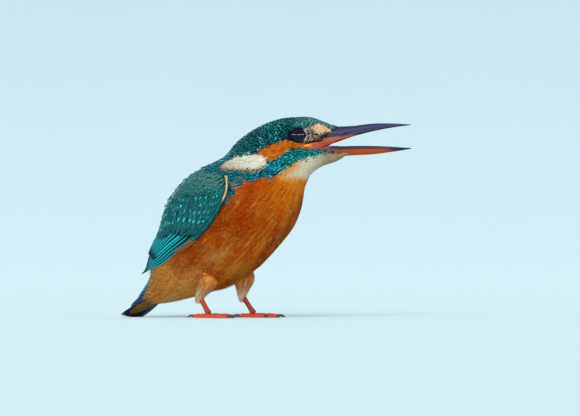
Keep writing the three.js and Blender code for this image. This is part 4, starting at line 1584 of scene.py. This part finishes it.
def quills(hide, lines, half, heights, colours, seed, patch_at, flip, thick=0.11):
    """Flight feathers along given midlines, each a lens in section from base to tip.

    lines holds each feather's root and tip on the surface and how far its middle bows across. heights
    holds how far root and tip lie off the surface.
    """
    rng = np.random.default_rng(seed)
    lines, half, heights = (np.array(v, float) for v in (lines, half, heights))
    cut = Cut(QUILL_REACH, along(QUILL_WIDTH, QUILL_REACH), QUILL_LENS, thick, camber=0.1)
    t = cut.reach
    us = lines[:, 0:1] + (lines[:, 2:3] - lines[:, 0:1]) * t
    vs = lines[:, 1:2] + (lines[:, 3:4] - lines[:, 1:2]) * t + np.sin(np.pi * t) * lines[:, 4:5]
    height = heights[:, 0:1] * (1 - t) + heights[:, 1:2] * t
    count = len(lines)
    own = rng.random(count)
    ground, mark = (np.broadcast_to(colour, (count, 3)) * (0.9 + 0.2 * own)[:, None] for colour in colours)
    return clothe(hide, us, vs, half, height, cut, ground, mark, own, patch_at(us[:, 0], vs[:, 0]), flip=flip)


# How far across the tail the root and the tip of each pair of feathers lie, the middle pair first.
TAIL_PAIRS = [(0.08, 0.1), (0.18, 0.28), (0.28, 0.48), (0.36, 0.66), (0.44, 0.82), (0.5, 0.94)]


def on_tail(u, v):
    """A place of the tail laid flat, inside a square."""
    return np.stack([v * 0.4 + 0.5, 0.1 + 0.8 * u], -1)


def on_wing(u, v):
    """A place of a wing laid flat, inside a square."""
    return np.stack([v * 0.4 + 0.5, 0.05 + 0.9 * u], -1)


def tail():
    """Twelve tail feathers, fanned, the middle pair on top, blue above."""
    lines, half, heights, flip = [], [], [], []
    for k, (root, tip) in enumerate(TAIL_PAIRS):
        for side in (-1, 1):
            lines.append((0.02, side * root, 0.985 - 0.012 * k, side * tip, 0.02 * side))
            half.append(3.1 - 0.12 * k)
            heights.append((-0.45 - 0.15 * k, -0.42 - 0.16 * k))
            flip.append(side < 0)
    colours = (paint(16, 58, 108), paint(24, 96, 150))
    shape = quills(TAIL_TOP, lines, half, heights, colours, 31, on_tail, np.array(flip))
    put("tail_feathers", shape, TAIL_FINISH, replaces=("tail",))


# Tip lines of six rows of wing coverts, from the lower to the upper end, as (a, b). Between each two
# lies another row. SPOTTED says how strong the spots are on each of the eleven.
COVERT_LINES = np.array([
    [(0.13, -0.9), (0.21, -0.6), (0.30, 0.0), (0.44, 0.6), (0.50, 0.96)],
    [(0.18, -0.9), (0.26, -0.6), (0.37, 0.0), (0.51, 0.6), (0.57, 0.96)],
    [(0.23, -0.9), (0.31, -0.65), (0.43, 0.0), (0.57, 0.6), (0.63, 0.96)],
    [(0.29, -0.9), (0.36, -0.7), (0.49, 0.0), (0.63, 0.6), (0.69, 0.96)],
    [(0.35, -0.92), (0.42, -0.75), (0.55, 0.0), (0.69, 0.6), (0.75, 0.96)],
    [(0.44, -0.94), (0.50, -0.78), (0.61, -0.1), (0.75, 0.6), (0.80, 0.96)],
])
SPOTTED = [0.4, 0.1, 0.9, 0.15, 1.0, 0.1, 0.5, 0.2, 1.0, 0.1, 0.05]
COVERTS_IN_ROW = 21


def row_of_coverts(side, k, rng):
    """One row of wing coverts, each walked back up the wing from its tip."""
    hide, place, count = WINGS[side], k / (len(SPOTTED) - 1), COVERTS_IN_ROW
    share = (np.arange(count) + 0.5 * (k % 2) + rng.uniform(0.1, 0.5, count)) / (count + 0.5)
    a, b = along(along(COVERT_LINES, place), share).T + rng.normal(0, 0.006, (2, count))
    reach = lerp(4.6, 10.0, place) * rng.uniform(0.94, 1.06, count)
    lie = -lerp(16, 22, place) * smooth(b, -0.85, -0.4) + 24 * np.maximum(share - 0.5, 0)
    lie = lie + rng.normal(0, 2.5, count)
    us, vs = walk(hide, a, b, lie, 6, -reach, COVERT.reach)
    us, vs = us[:, ::-1], np.clip(vs[:, ::-1], -0.96, 0.96)
    t = COVERT.reach
    rise = np.broadcast_to(-0.4 + 0.52 * t**0.8, us.shape) + 0.05 * share[:, None]
    own = rng.random(count)
    ground = lerp(paint(6, 66, 70), paint(8, 84, 86), share) * (0.75 + 0.45 * own)[:, None]
    shown = SPOTTED[k] * (rng.random(count) < 0.7) * (0.5 + 0.5 * rng.random(count))
    shown = shown * smooth(share, 0.06, 0.2)
    mark = lerp(ground, paint(50, 232, 226), shown * (1 - 0.7 * smooth(share, 0.75, 0.92)))
    half = np.full(count, lerp(1.3, 1.7, place))
    return clothe(hide, us, vs, half, rise, COVERT, ground, mark, own, on_wing(us[:, 0], vs[:, 0]))


def lesser_coverts(side):
    """Small dull green scales over the wrist of the wing, up to its first spotted row."""
    rng = np.random.default_rng(52)
    hide = WINGS[side]
    u, v = staggered_roots(hide, even(1.35), even(1.25), rng, 0.2)
    kept = u < np.interp(v, [-1, -0.6, -0.2, 0.4, 1], [0.10, 0.17, 0.22, 0.36, 0.5])
    u, v = u[kept], v[kept]
    count = len(u)
    us, vs = walk(hide, u, v, -14 + rng.normal(0, 5, count), 4, rng.uniform(2.9, 3.7, count), SCALE.reach)
    vs = np.clip(vs, -0.96, 0.96)
    rise = -0.4 + 0.52 * SCALE.reach**0.8
    own = rng.random(count)
    green = lerp(paint(52, 106, 100), paint(8, 80, 84), smooth(u, 0.12, 0.36)) * (0.8 + 0.4 * own)[:, None]
    mark = lerp(green, paint(140, 196, 172), 0.26)
    half = np.full(count, 0.85)
    return clothe(hide, us, vs, half, np.broadcast_to(rise, us.shape), SCALE, green, mark, own, on_wing(u, v))


def leading_edge(side):
    """Overlapping narrow feathers along the wing's front and lower edge: buff in front, teal behind."""
    rng = np.random.default_rng(53)
    hide = WINGS[side]
    path = np.array([
        (0.06, 0.8), (0.02, 0.45), (0.006, 0.0), (0.02, -0.5), (0.06, -0.85), (0.13, -0.98), (0.22, -1.0),
        (0.32, -1.0), (0.42, -1.0), (0.52, -1.0),
    ])
    shapes = []
    for layer, (inset, rise) in enumerate(((0.0, 0.0), (0.012, 0.16), (0.024, 0.3))):
        t = np.linspace(0.02, 0.94, 70) + 0.005 * layer
        start, end = along(path, t), along(path, np.minimum(t + 0.075, 1))
        us = start[:, 0:1] + (end - start)[:, 0:1] * TUFT.reach + inset * 0.5
        vs = start[:, 1:2] + (end - start)[:, 1:2] * TUFT.reach + inset
        count = len(t)
        height = rise - 0.1 + 0.2 * TUFT.reach * np.ones((count, 1))
        own = rng.random(count)
        buff = lerp(paint(250, 184, 108), paint(255, 224, 164), own)
        teal = lerp(paint(6, 84, 88), paint(20, 132, 134), own)
        ground = lerp(lerp(teal * 0.6, buff, smooth(t, 0.05, 0.09)), teal, smooth(t, 0.56, 0.61))
        half = 0.5 + 0.27 * smooth(t, 0.6, 0.75)
        where = on_wing(us[:, 0], vs[:, 0])
        shapes.append(clothe(hide, us, vs, half, height, TUFT, ground, ground, own, where))
    return joined(shapes)


def wing(side):
    """One folded wing: quills in two groups, rows of coverts over them, and the small feathers in front."""
    hide, sign = WINGS[side], SIDES[side]
    rng = np.random.default_rng(50)
    lines, half, heights = [], [], []
    for share in np.linspace(0, 1, 8):  # primaries, the outermost lowest, underneath and longest
        lines.append((0.42, -1.0 + 0.8 * share, 1.0 - 0.13 * share, -0.75 + 1.45 * share, -0.05))
        half.append(0.75 + 0.35 * min(1, 2 * share))
        heights.append((-1.4 + 0.3 * share, -0.1 + 0.12 * share))
    for share in np.linspace(0, 1, 9):  # secondaries and tertials, the innermost on top
        root, tip = (0.40 + 0.04 * share, -0.66 + 1.46 * share), (0.80 + 0.035 * share, -0.15 + 0.93 * share)
        lines.append((*root, *tip, 0.0))
        half.append(1.45)
        heights.append((-0.9 + 0.2 * share, 0.15 + 0.5 * share))
    colours = (paint(4, 20, 36), paint(4, 188, 196))
    flip = np.full(len(lines), sign < 0)
    shape = quills(hide, lines, half, heights, colours, 51, on_wing, flip)
    put(f"wing_quills_{side}", shape, WING_FINISH, replaces=(f"wing_{side}",))
    rows = [row_of_coverts(side, k, rng) for k in reversed(range(len(SPOTTED)))]
    put(f"wing_coverts_{side}", joined(rows), COVERT_FINISH)
    put(f"wing_scales_{side}", lesser_coverts(side), SCALE_FINISH)
    put(f"wing_edge_{side}", leading_edge(side), SOFT_FINISH)


# ---------------------------------------------------------------- the coat

HORN_FINISH = horn_finish("beak_horn", 0.42, 0.05, 0.0012, 0.00004, 0.14)
GAPE_FINISH = horn_finish("gape_skin", 0.5, 0.04, 0.0006, 0.00004, 0.12)
LID_FINISH = horn_finish("eyelid_skin", 0.6, 0.02, 0.0004, 0.00003, 0.08)
CLAW_FINISH = horn_finish("claw_horn", 0.3, 0.4, 0.0005, 0.00002)
LEG_FINISH = leg_finish()
EYE_FINISH = eye_finish()

# Each piece of the coat: its kinds of feather, their cut, then by section the gap between rows, the gap
# across, the length and the half width, all in mm, and what else it needs.
COATS = {
    "crown_feathers": dict(
        kinds=("crown",), cut=SCALE, finish=CROWN_FINISH, seed=41, splay=4,
        row_gap=[(0, 0.8), (2, 1.0), (5, 1.3), (7.5, 1.5)],
        column_gap=[(0, 0.75), (2, 0.95), (5, 1.15), (7.5, 1.3)],
        length=[(0, 2.2), (2, 2.8), (5, 3.6), (7.5, 4.4)], half=[(0, 0.55), (2, 0.7), (5, 0.85), (7.5, 1.0)],
    ),
    "lore_feathers": dict(
        kinds=("lores",), cut=WISP, finish=SOFT_FINISH, seed=39, splay=7,
        row_gap=[(0, 0.5), (3, 0.55)], column_gap=[(0, 0.34), (3, 0.34)],
        length=[(0, 1.8), (3, 2.3)], half=[(0, 0.2), (3, 0.22)],
    ),
    "face_feathers": dict(
        kinds=("spot",), cut=TUFT, finish=SOFT_FINISH, seed=42, splay=6,
        row_gap=[(0, 0.55), (3, 0.6)], column_gap=[(0, 0.5), (3, 0.5)],
        length=[(0, 1.7), (3, 2.0)], half=[(0, 0.3), (3, 0.32)],
    ),
    "ear_feathers": dict(
        kinds=("ear",), cut=WISP, finish=RUST_FINISH, seed=43, splay=4,
        row_gap=[(0, 0.6), (6, 0.7)], column_gap=[(0, 0.3), (6, 0.34)],
        length=[(0, 1.8), (2, 3.2), (6, 4.6)], half=[(0, 0.19), (6, 0.25)],
    ),
    "cheek_feathers": dict(
        kinds=("cheek",), cut=SCALE, finish=CHEEK_FINISH, seed=44, splay=8, ragged=0.1, uneven=0.3,
        row_gap=[(0, 0.62), (3, 0.82), (6.6, 1.1)], column_gap=[(0, 0.5), (3, 0.64), (6.6, 0.84)],
        length=[(0, 1.8), (3, 2.6), (6.6, 3.8)], half=[(0, 0.34), (3, 0.44), (6.6, 0.56)],
    ),
    "throat_feathers": dict(
        kinds=("throat", "patch"), cut=WISP, finish=SOFT_FINISH, seed=45, splay=3, lift=0.08,
        uneven=0.07, ragged=0.1,
        row_gap=[(0, 0.6), (7, 0.75)], column_gap=[(0, 0.34), (7, 0.38)],
        length=[(0, 2.4), (3, 3.6), (7, 5.2)], half=[(0, 0.27), (7, 0.36)],
    ),
    "breast_feathers": dict(
        kinds=("rust",), cut=WISP, finish=RUST_FINISH, seed=46, splay=2.5, sections=(0, 9.3),
        lift=0.14, lean=2,
        row_gap=[(0, 0.7), (5, 0.85), (9, 0.95)], column_gap=[(0, 0.32), (5, 0.36), (9, 0.4)],
        length=[(0, 2.0), (4, 3.6), (6, 6.0), (9, 7.8)], half=[(0, 0.2), (5, 0.27), (9, 0.33)], uneven=0.12,
    ),
    "belly_coat": dict(
        kinds=("rust",), cut=WISP, finish=RUST_FINISH, seed=47, splay=3, sections=(9.3, 11.6),
        lift=0.2, lean=2,
        row_gap=[(9, 0.95), (15, 0.95)], column_gap=[(9, 0.4), (15, 0.4)],
        length=[(9, 7.8), (12, 8.6)], half=[(9, 0.33), (12, 0.33)], uneven=0.12,
    ),
    "vent_coat": dict(
        kinds=("rust",), cut=WISP, finish=RUST_FINISH, seed=40, splay=4, sections=(11.6, LAST), lift=0.3,
        bare=lambda u, v: under_wing(u, v) | ((u > 13.7) & (np.abs(v) < 60 + 40 * (u - 13.7))),
        row_gap=[(9, 0.95), (15, 0.95)], column_gap=[(11, 0.42), (15, 0.42)],
        length=[(11, 8.4), (15, 8.0)], half=[(11, 0.33), (15, 0.33)], uneven=0.14,
    ),
    "shoulder_feathers": dict(
        kinds=("shoulder",), cut=SCALE, finish=CHEEK_FINISH, seed=48, splay=5,
        row_gap=[(6, 1.3), (9, 1.7), (15, 1.9)], column_gap=[(6, 1.0), (9, 1.3), (15, 1.5)],
        length=[(6, 4.4), (9, 5.6), (15, 6.5)], half=[(6, 0.8), (9, 1.05), (15, 1.1)],
    ),
    "back_feathers": dict(
        kinds=("azure",), cut=SCALE, finish=AZURE_FINISH, seed=49, splay=6,
        row_gap=[(6, 1.5), (15, 2.0)], column_gap=[(6, 1.1), (15, 1.4)],
        length=[(6, 4.6), (12, 6.0), (15, 9.0)], half=[(6, 0.8), (15, 1.1)],
    ),
}


def thigh_fluff(side):
    """Loose wisps over a thigh, hanging down past the ankle, buff on the right and paler on the left."""
    rng = np.random.default_rng(61)
    rings = thigh_rings(LEGS[side], 61, 60, 0.0)
    rings = np.concatenate([rings, rings[:, :1]], 1)
    hide = Hide(rings, np.linspace(0, 1, 61), np.linspace(0, 360, 61), around=True)
    u, v = staggered_roots(hide, even(0.75), even(0.5), rng, 0.4)
    kept = u > 0.3
    u, v = u[kept], v[kept]
    count = len(u)
    reach = 6.4 * rng.uniform(0.6, 1.15, count) * (1 - 0.35 * smooth(u, 0.7, 1.0))
    us, vs = walk(hide, u, v, rng.normal(0, 6, count), rng.normal(0, 8, count), reach, WISP.reach)
    t = WISP.reach
    height = -0.4 + (0.6 + 0.9 * rng.uniform(0, 1, count)[:, None] ** 2) * t
    own = rng.random(count)
    pale = (0.95 if side == "left" else 0.6) * smooth(u, 0.42, 0.8)
    ground = lerp(lerp(RUST, VENT, 0.35 + 0.5 * own), paint(250, 230, 184), pale)
    ground = ground * (0.85 + 0.25 * own)[:, None]
    where = np.stack([0.03 + 0.94 * (v % 360) / 360, 0.03 + 0.94 * u], -1)
    half = np.full(count, 0.34)
    shape = clothe(hide, us, vs, half, height, WISP, ground, lerp(ground, CREAM, 0.3), own, where)
    put(f"thigh_fluff_{side}", shape, RUST_FINISH)


def thigh_blend(side):
    """Belly feathers that hang over the top of a thigh, so that it grows out of the coat."""
    rng = np.random.default_rng(65)
    hip, ankle = (turned(np.array(LEGS[side][key], float)) for key in ("hip", "ankle"))
    u, v = staggered_roots(BODY, even(0.8), even(0.5), rng, 0.4)
    kept = (np.sign(v) == SIDES[side]) & (u > 9) & (np.abs(v) > 92)
    u, v = u[kept], v[kept]
    point = BODY.read(u, v)[0]
    knee = hip * 0.55 + ankle * 0.45 + (0, 0, 3)
    near = np.linalg.norm((point - knee) * (1, 0.8, 1), axis=-1)
    kept = (near < 11.5) & (point[:, 2] > 13)
    u, v, near = u[kept], v[kept], near[kept]
    count = len(u)
    lie, bend = rng.normal(0, 5, count), rng.normal(0, 5, count)
    us, vs = walk(BODY, u, v, lie, bend, rng.uniform(6, 9.5, count), WISP.reach)
    lift = (1.3 * smooth(near, 11.5, 6.0) * rng.uniform(0.2, 1.1, count))[:, None]
    height = -1.0 + (1.1 + lift) * WISP.reach**1.2
    own = rng.random(count)
    colour = rust_colours(u, v, BODY.read(u, v)[0])
    colour = lerp(colour, VENT, 0.3 * smooth(near, 11, 6)) * (0.88 + 0.24 * own)[:, None]
    half = np.full(count, 0.4)
    shape = clothe(BODY, us, vs, half, height, WISP, colour, lerp(colour, BUFF, 0.3), own, unwrapped(u, v))
    put(f"thigh_blend_{side}", shape, RUST_FINISH)


def flank_wisps(side):
    """Loose pale wisps of the flank that curl up over the wing's lower edge, where its quills come out."""
    rng = np.random.default_rng(66)
    hide = WINGS[side]
    count = 100
    u, v = 0.47 + 0.12 * rng.random(count) ** 1.3, rng.uniform(-1.06, -0.96, count)
    lie, bend = rng.normal(9, 8, count), rng.normal(8, 12, count)
    us, vs = walk(hide, u, v, lie, bend, rng.uniform(2.5, 4.6, count), WISP.reach)
    height = 0.05 + rng.uniform(0.1, 0.7, count)[:, None] * WISP.reach
    own = rng.random(count)
    ground = lerp(lerp(DEEP_RUST, AMBER, own), paint(150, 116, 88), 0.7 * smooth(u, 0.48, 0.53)) * 0.8
    shape = clothe(hide, us, vs, np.full(count, 0.17), height, WISP, ground, ground, own, on_wing(u, v))
    put(f"flank_wisps_{side}", shape, RUST_FINISH)


def tail_coverts(name, hide, span, length, colours, finish, seed, rise):
    """Long soft coverts over the root of the tail, above or below, in staggered rows."""
    rng = np.random.default_rng(seed)
    u, v = staggered_roots(hide, even(1.5), even(1.1), rng, 0.3)
    kept = (u > span[0]) & (u < span[1] - 0.12 * v * v) & (np.abs(v) < 0.93)
    u, v = u[kept], v[kept]
    count = len(u)
    reach = length * rng.uniform(0.8, 1.1, count) * (1 - 0.25 * v * v)
    us, vs = walk(hide, u, v, -24 * v + rng.normal(0, 4, count), 0, reach, TUFT.reach)
    vs = np.clip(vs, -1.05, 1.05)
    behind = (us[:, :1] - span[0]) / (span[1] - span[0])
    height = rise + 0.5 * (1 - behind) + 0.5 * TUFT.reach
    own = rng.random(count)
    ground = lerp(colours[0], colours[1], own)
    mark, half = lerp(ground, colours[2], 0.5), np.full(count, 1.15)
    put(name, clothe(hide, us, vs, half, height, TUFT, ground, mark, own, on_tail(u, v)), finish)


def scapulars():
    """Longer feathers from the shoulders that lap over the top edges of the wings."""

    def outside(u, v):
        side = np.abs(v)
        return (side < 15) | (side > 37 - 4 * smooth(u, 9, 12)) | (u < 7.5) | (u > 12.6)

    shape = coat(
        ("shoulder", "azure"), COVERT, by_section([(7, 2.0), (12, 2.6)]), by_section([(7, 1.6), (12, 1.9)]),
        by_section([(7, 5.5), (9, 8.0), (12, 11)]), by_section([(7, 1.2), (12, 1.7)]), 62,
        lie=lambda u, v: 12 - 8 * smooth(u, 9, 12), lift=0.7, splay=3, bare=outside, lean=2,
    )
    shape.carried["ground"] = lerp(shape.carried["ground"], paint(24, 78, 92), 0.85)
    shape.carried["mark"] = lerp(shape.carried["mark"], paint(70, 120, 124), 0.85)
    put("scapular_feathers", shape, SCALE_FINISH)


def grow_coat():
    """Puts every piece of the body's coat on."""
    for name, look in COATS.items():
        look = dict(look)
        finish = look.pop("finish")
        for key in ("row_gap", "column_gap", "length", "half"):
            look[key] = by_section(look[key])
        slot = "belly_feathers" if finish == RUST_FINISH else "feathers"
        put(name, coat(**look), finish)


skin()
grow_coat()
scapulars()
upper_mandible()
lower_mandible()
tail()
tail_coverts(
    "rump_feathers", TAIL_TOP, (0.2, 0.5), 9.0, (AZURE_DARK, AZURE, AZURE), AZURE_FINISH, 63, -0.6
)
tail_coverts(
    "undertail_feathers", TAIL_FOOT, (0.3, 0.62), 10.5, (paint(110, 66, 30), paint(140, 100, 62), BUFF),
    RUST_FINISH, 64, 1.6,
)
for side, sign in SIDES.items():
    thigh_fluff(side)
    thigh_blend(side)
    flank_wisps(side)
    wing(side)
    gape(side, sign)
    eyeball(side, sign)
    eyelids(side, sign)
    foot(side, LEGS[side])
    for number in TOES:
        claw(side, LEGS[side], number)


# ---------------------------------------------------------------- floor, light and camera

VIEW_CENTRE = np.array([24.35, 0.0, 53.6])
VIEW_WIDTH, VIEW_DISTANCE = 0.2825, 3.0
STRIP_RING = 1.3


def floor():
    """A pale sheet that runs level under the bird and curves up behind her: a quarter circle and a wall."""
    turn = np.linspace(0, np.pi / 2, 24)
    run = np.concatenate([[-6.0], 2.2 + 1.6 * np.sin(turn), [3.8]])
    rise = np.concatenate([[0.0], 1.6 * (1 - np.cos(turn)), [9.0]])
    x = np.array([-9.0, 9.0])
    points = np.stack(np.broadcast_arrays(x[:, None], run, rise), -1).reshape(-1, 3)
    n = len(run)
    k = np.arange(n - 1)
    faces = np.stack([k, k + n, k + n + 1, k + 1], -1)
    mesh = bpy.data.meshes.new("studio_floor")
    mesh.from_pydata(points.tolist(), [], faces.tolist())
    mesh.polygons.foreach_set("use_smooth", np.ones(len(faces), bool))
    # The wall's colour is darker than the floor's: painted shade on one sheet of paper, so that the wall,
    # which the sun strikes more squarely, shows no brighter than the floor.
    mesh.materials.append(paper_finish("pale_paper", paint(208, 228, 231), paint(176, 196, 205), 0.28))
    sheet = in_scene("studio_floor", mesh)


def lamp(name, place, aim, size, power, colour=(1, 1, 1), gloss_only=False):
    """A soft oblong light at a place, aimed at a point, of a size in metres and a power in watts."""
    light = bpy.data.lights.new(name, "AREA")
    light.shape = "RECTANGLE"
    light.size, light.size_y = size
    light.energy = power
    light.color = colour
    holder = in_scene(name, light)
    holder.location = place
    holder.rotation_euler = (Vector(aim) - Vector(place)).to_track_quat("-Z", "Y").to_euler()
    if gloss_only:
        holder.visible_diffuse = False


def studio():
    """A broad sun-like light from above and in front, pale air, four strips for gloss and a catch light.

    The strips stand in a ring of one radius about the bird. The catch light gives the eye its spark.
    """
    world = bpy.data.worlds.new("pale_room")
    world.use_nodes = True
    world.node_tree.nodes["Background"].inputs["Color"].default_value = (0.80, 0.90, 1.0, 1.0)
    world.node_tree.nodes["Background"].inputs["Strength"].default_value = 0.62
    bpy.context.scene.world = world
    heart = tuple(placed(np.array([10.0, 0, 55])))
    sun = bpy.data.lights.new("overhead", "SUN")
    sun.energy = 2.8
    sun.angle = np.radians(50)
    sun.color = (1.0, 0.97, 0.92)
    holder = in_scene("overhead", sun)
    holder.rotation_euler = (Vector(heart) - Vector((-0.12, -1.0, 0.8))).to_track_quat("-Z", "Y").to_euler()
    holder.visible_glossy = False
    for name, turn in (("left_strip", -55), ("front_strip", 5), ("right_strip", 60), ("rear_strip", 180)):
        angle = np.radians(turn)
        place = (STRIP_RING * np.sin(angle), -STRIP_RING * np.cos(angle), 0.36)
        lamp(name, place, heart, (1.25, 0.08), 11.0, (0.75, 0.88, 1.0), gloss_only=True)
    lamp("catch_light", (0.5, -1.3, 0.37), heart, (0.14, 0.12), 6.0, gloss_only=True)


def camera():
    """A long lens, level with the bird's middle, square to her head's side."""
    made = bpy.data.cameras.new("camera")
    made.sensor_width = 36
    made.lens = made.sensor_width * VIEW_DISTANCE / VIEW_WIDTH
    made.clip_start, made.clip_end = 0.1, 40
    holder = in_scene("camera", made)
    centre = placed(VIEW_CENTRE)
    holder.location = (centre[0], centre[1] - VIEW_DISTANCE, centre[2])
    holder.rotation_euler = (np.pi / 2, 0, 0)
    bpy.context.scene.camera = holder


floor()
studio()
camera()
bpy.context.scene.view_settings.view_transform = "Standard"
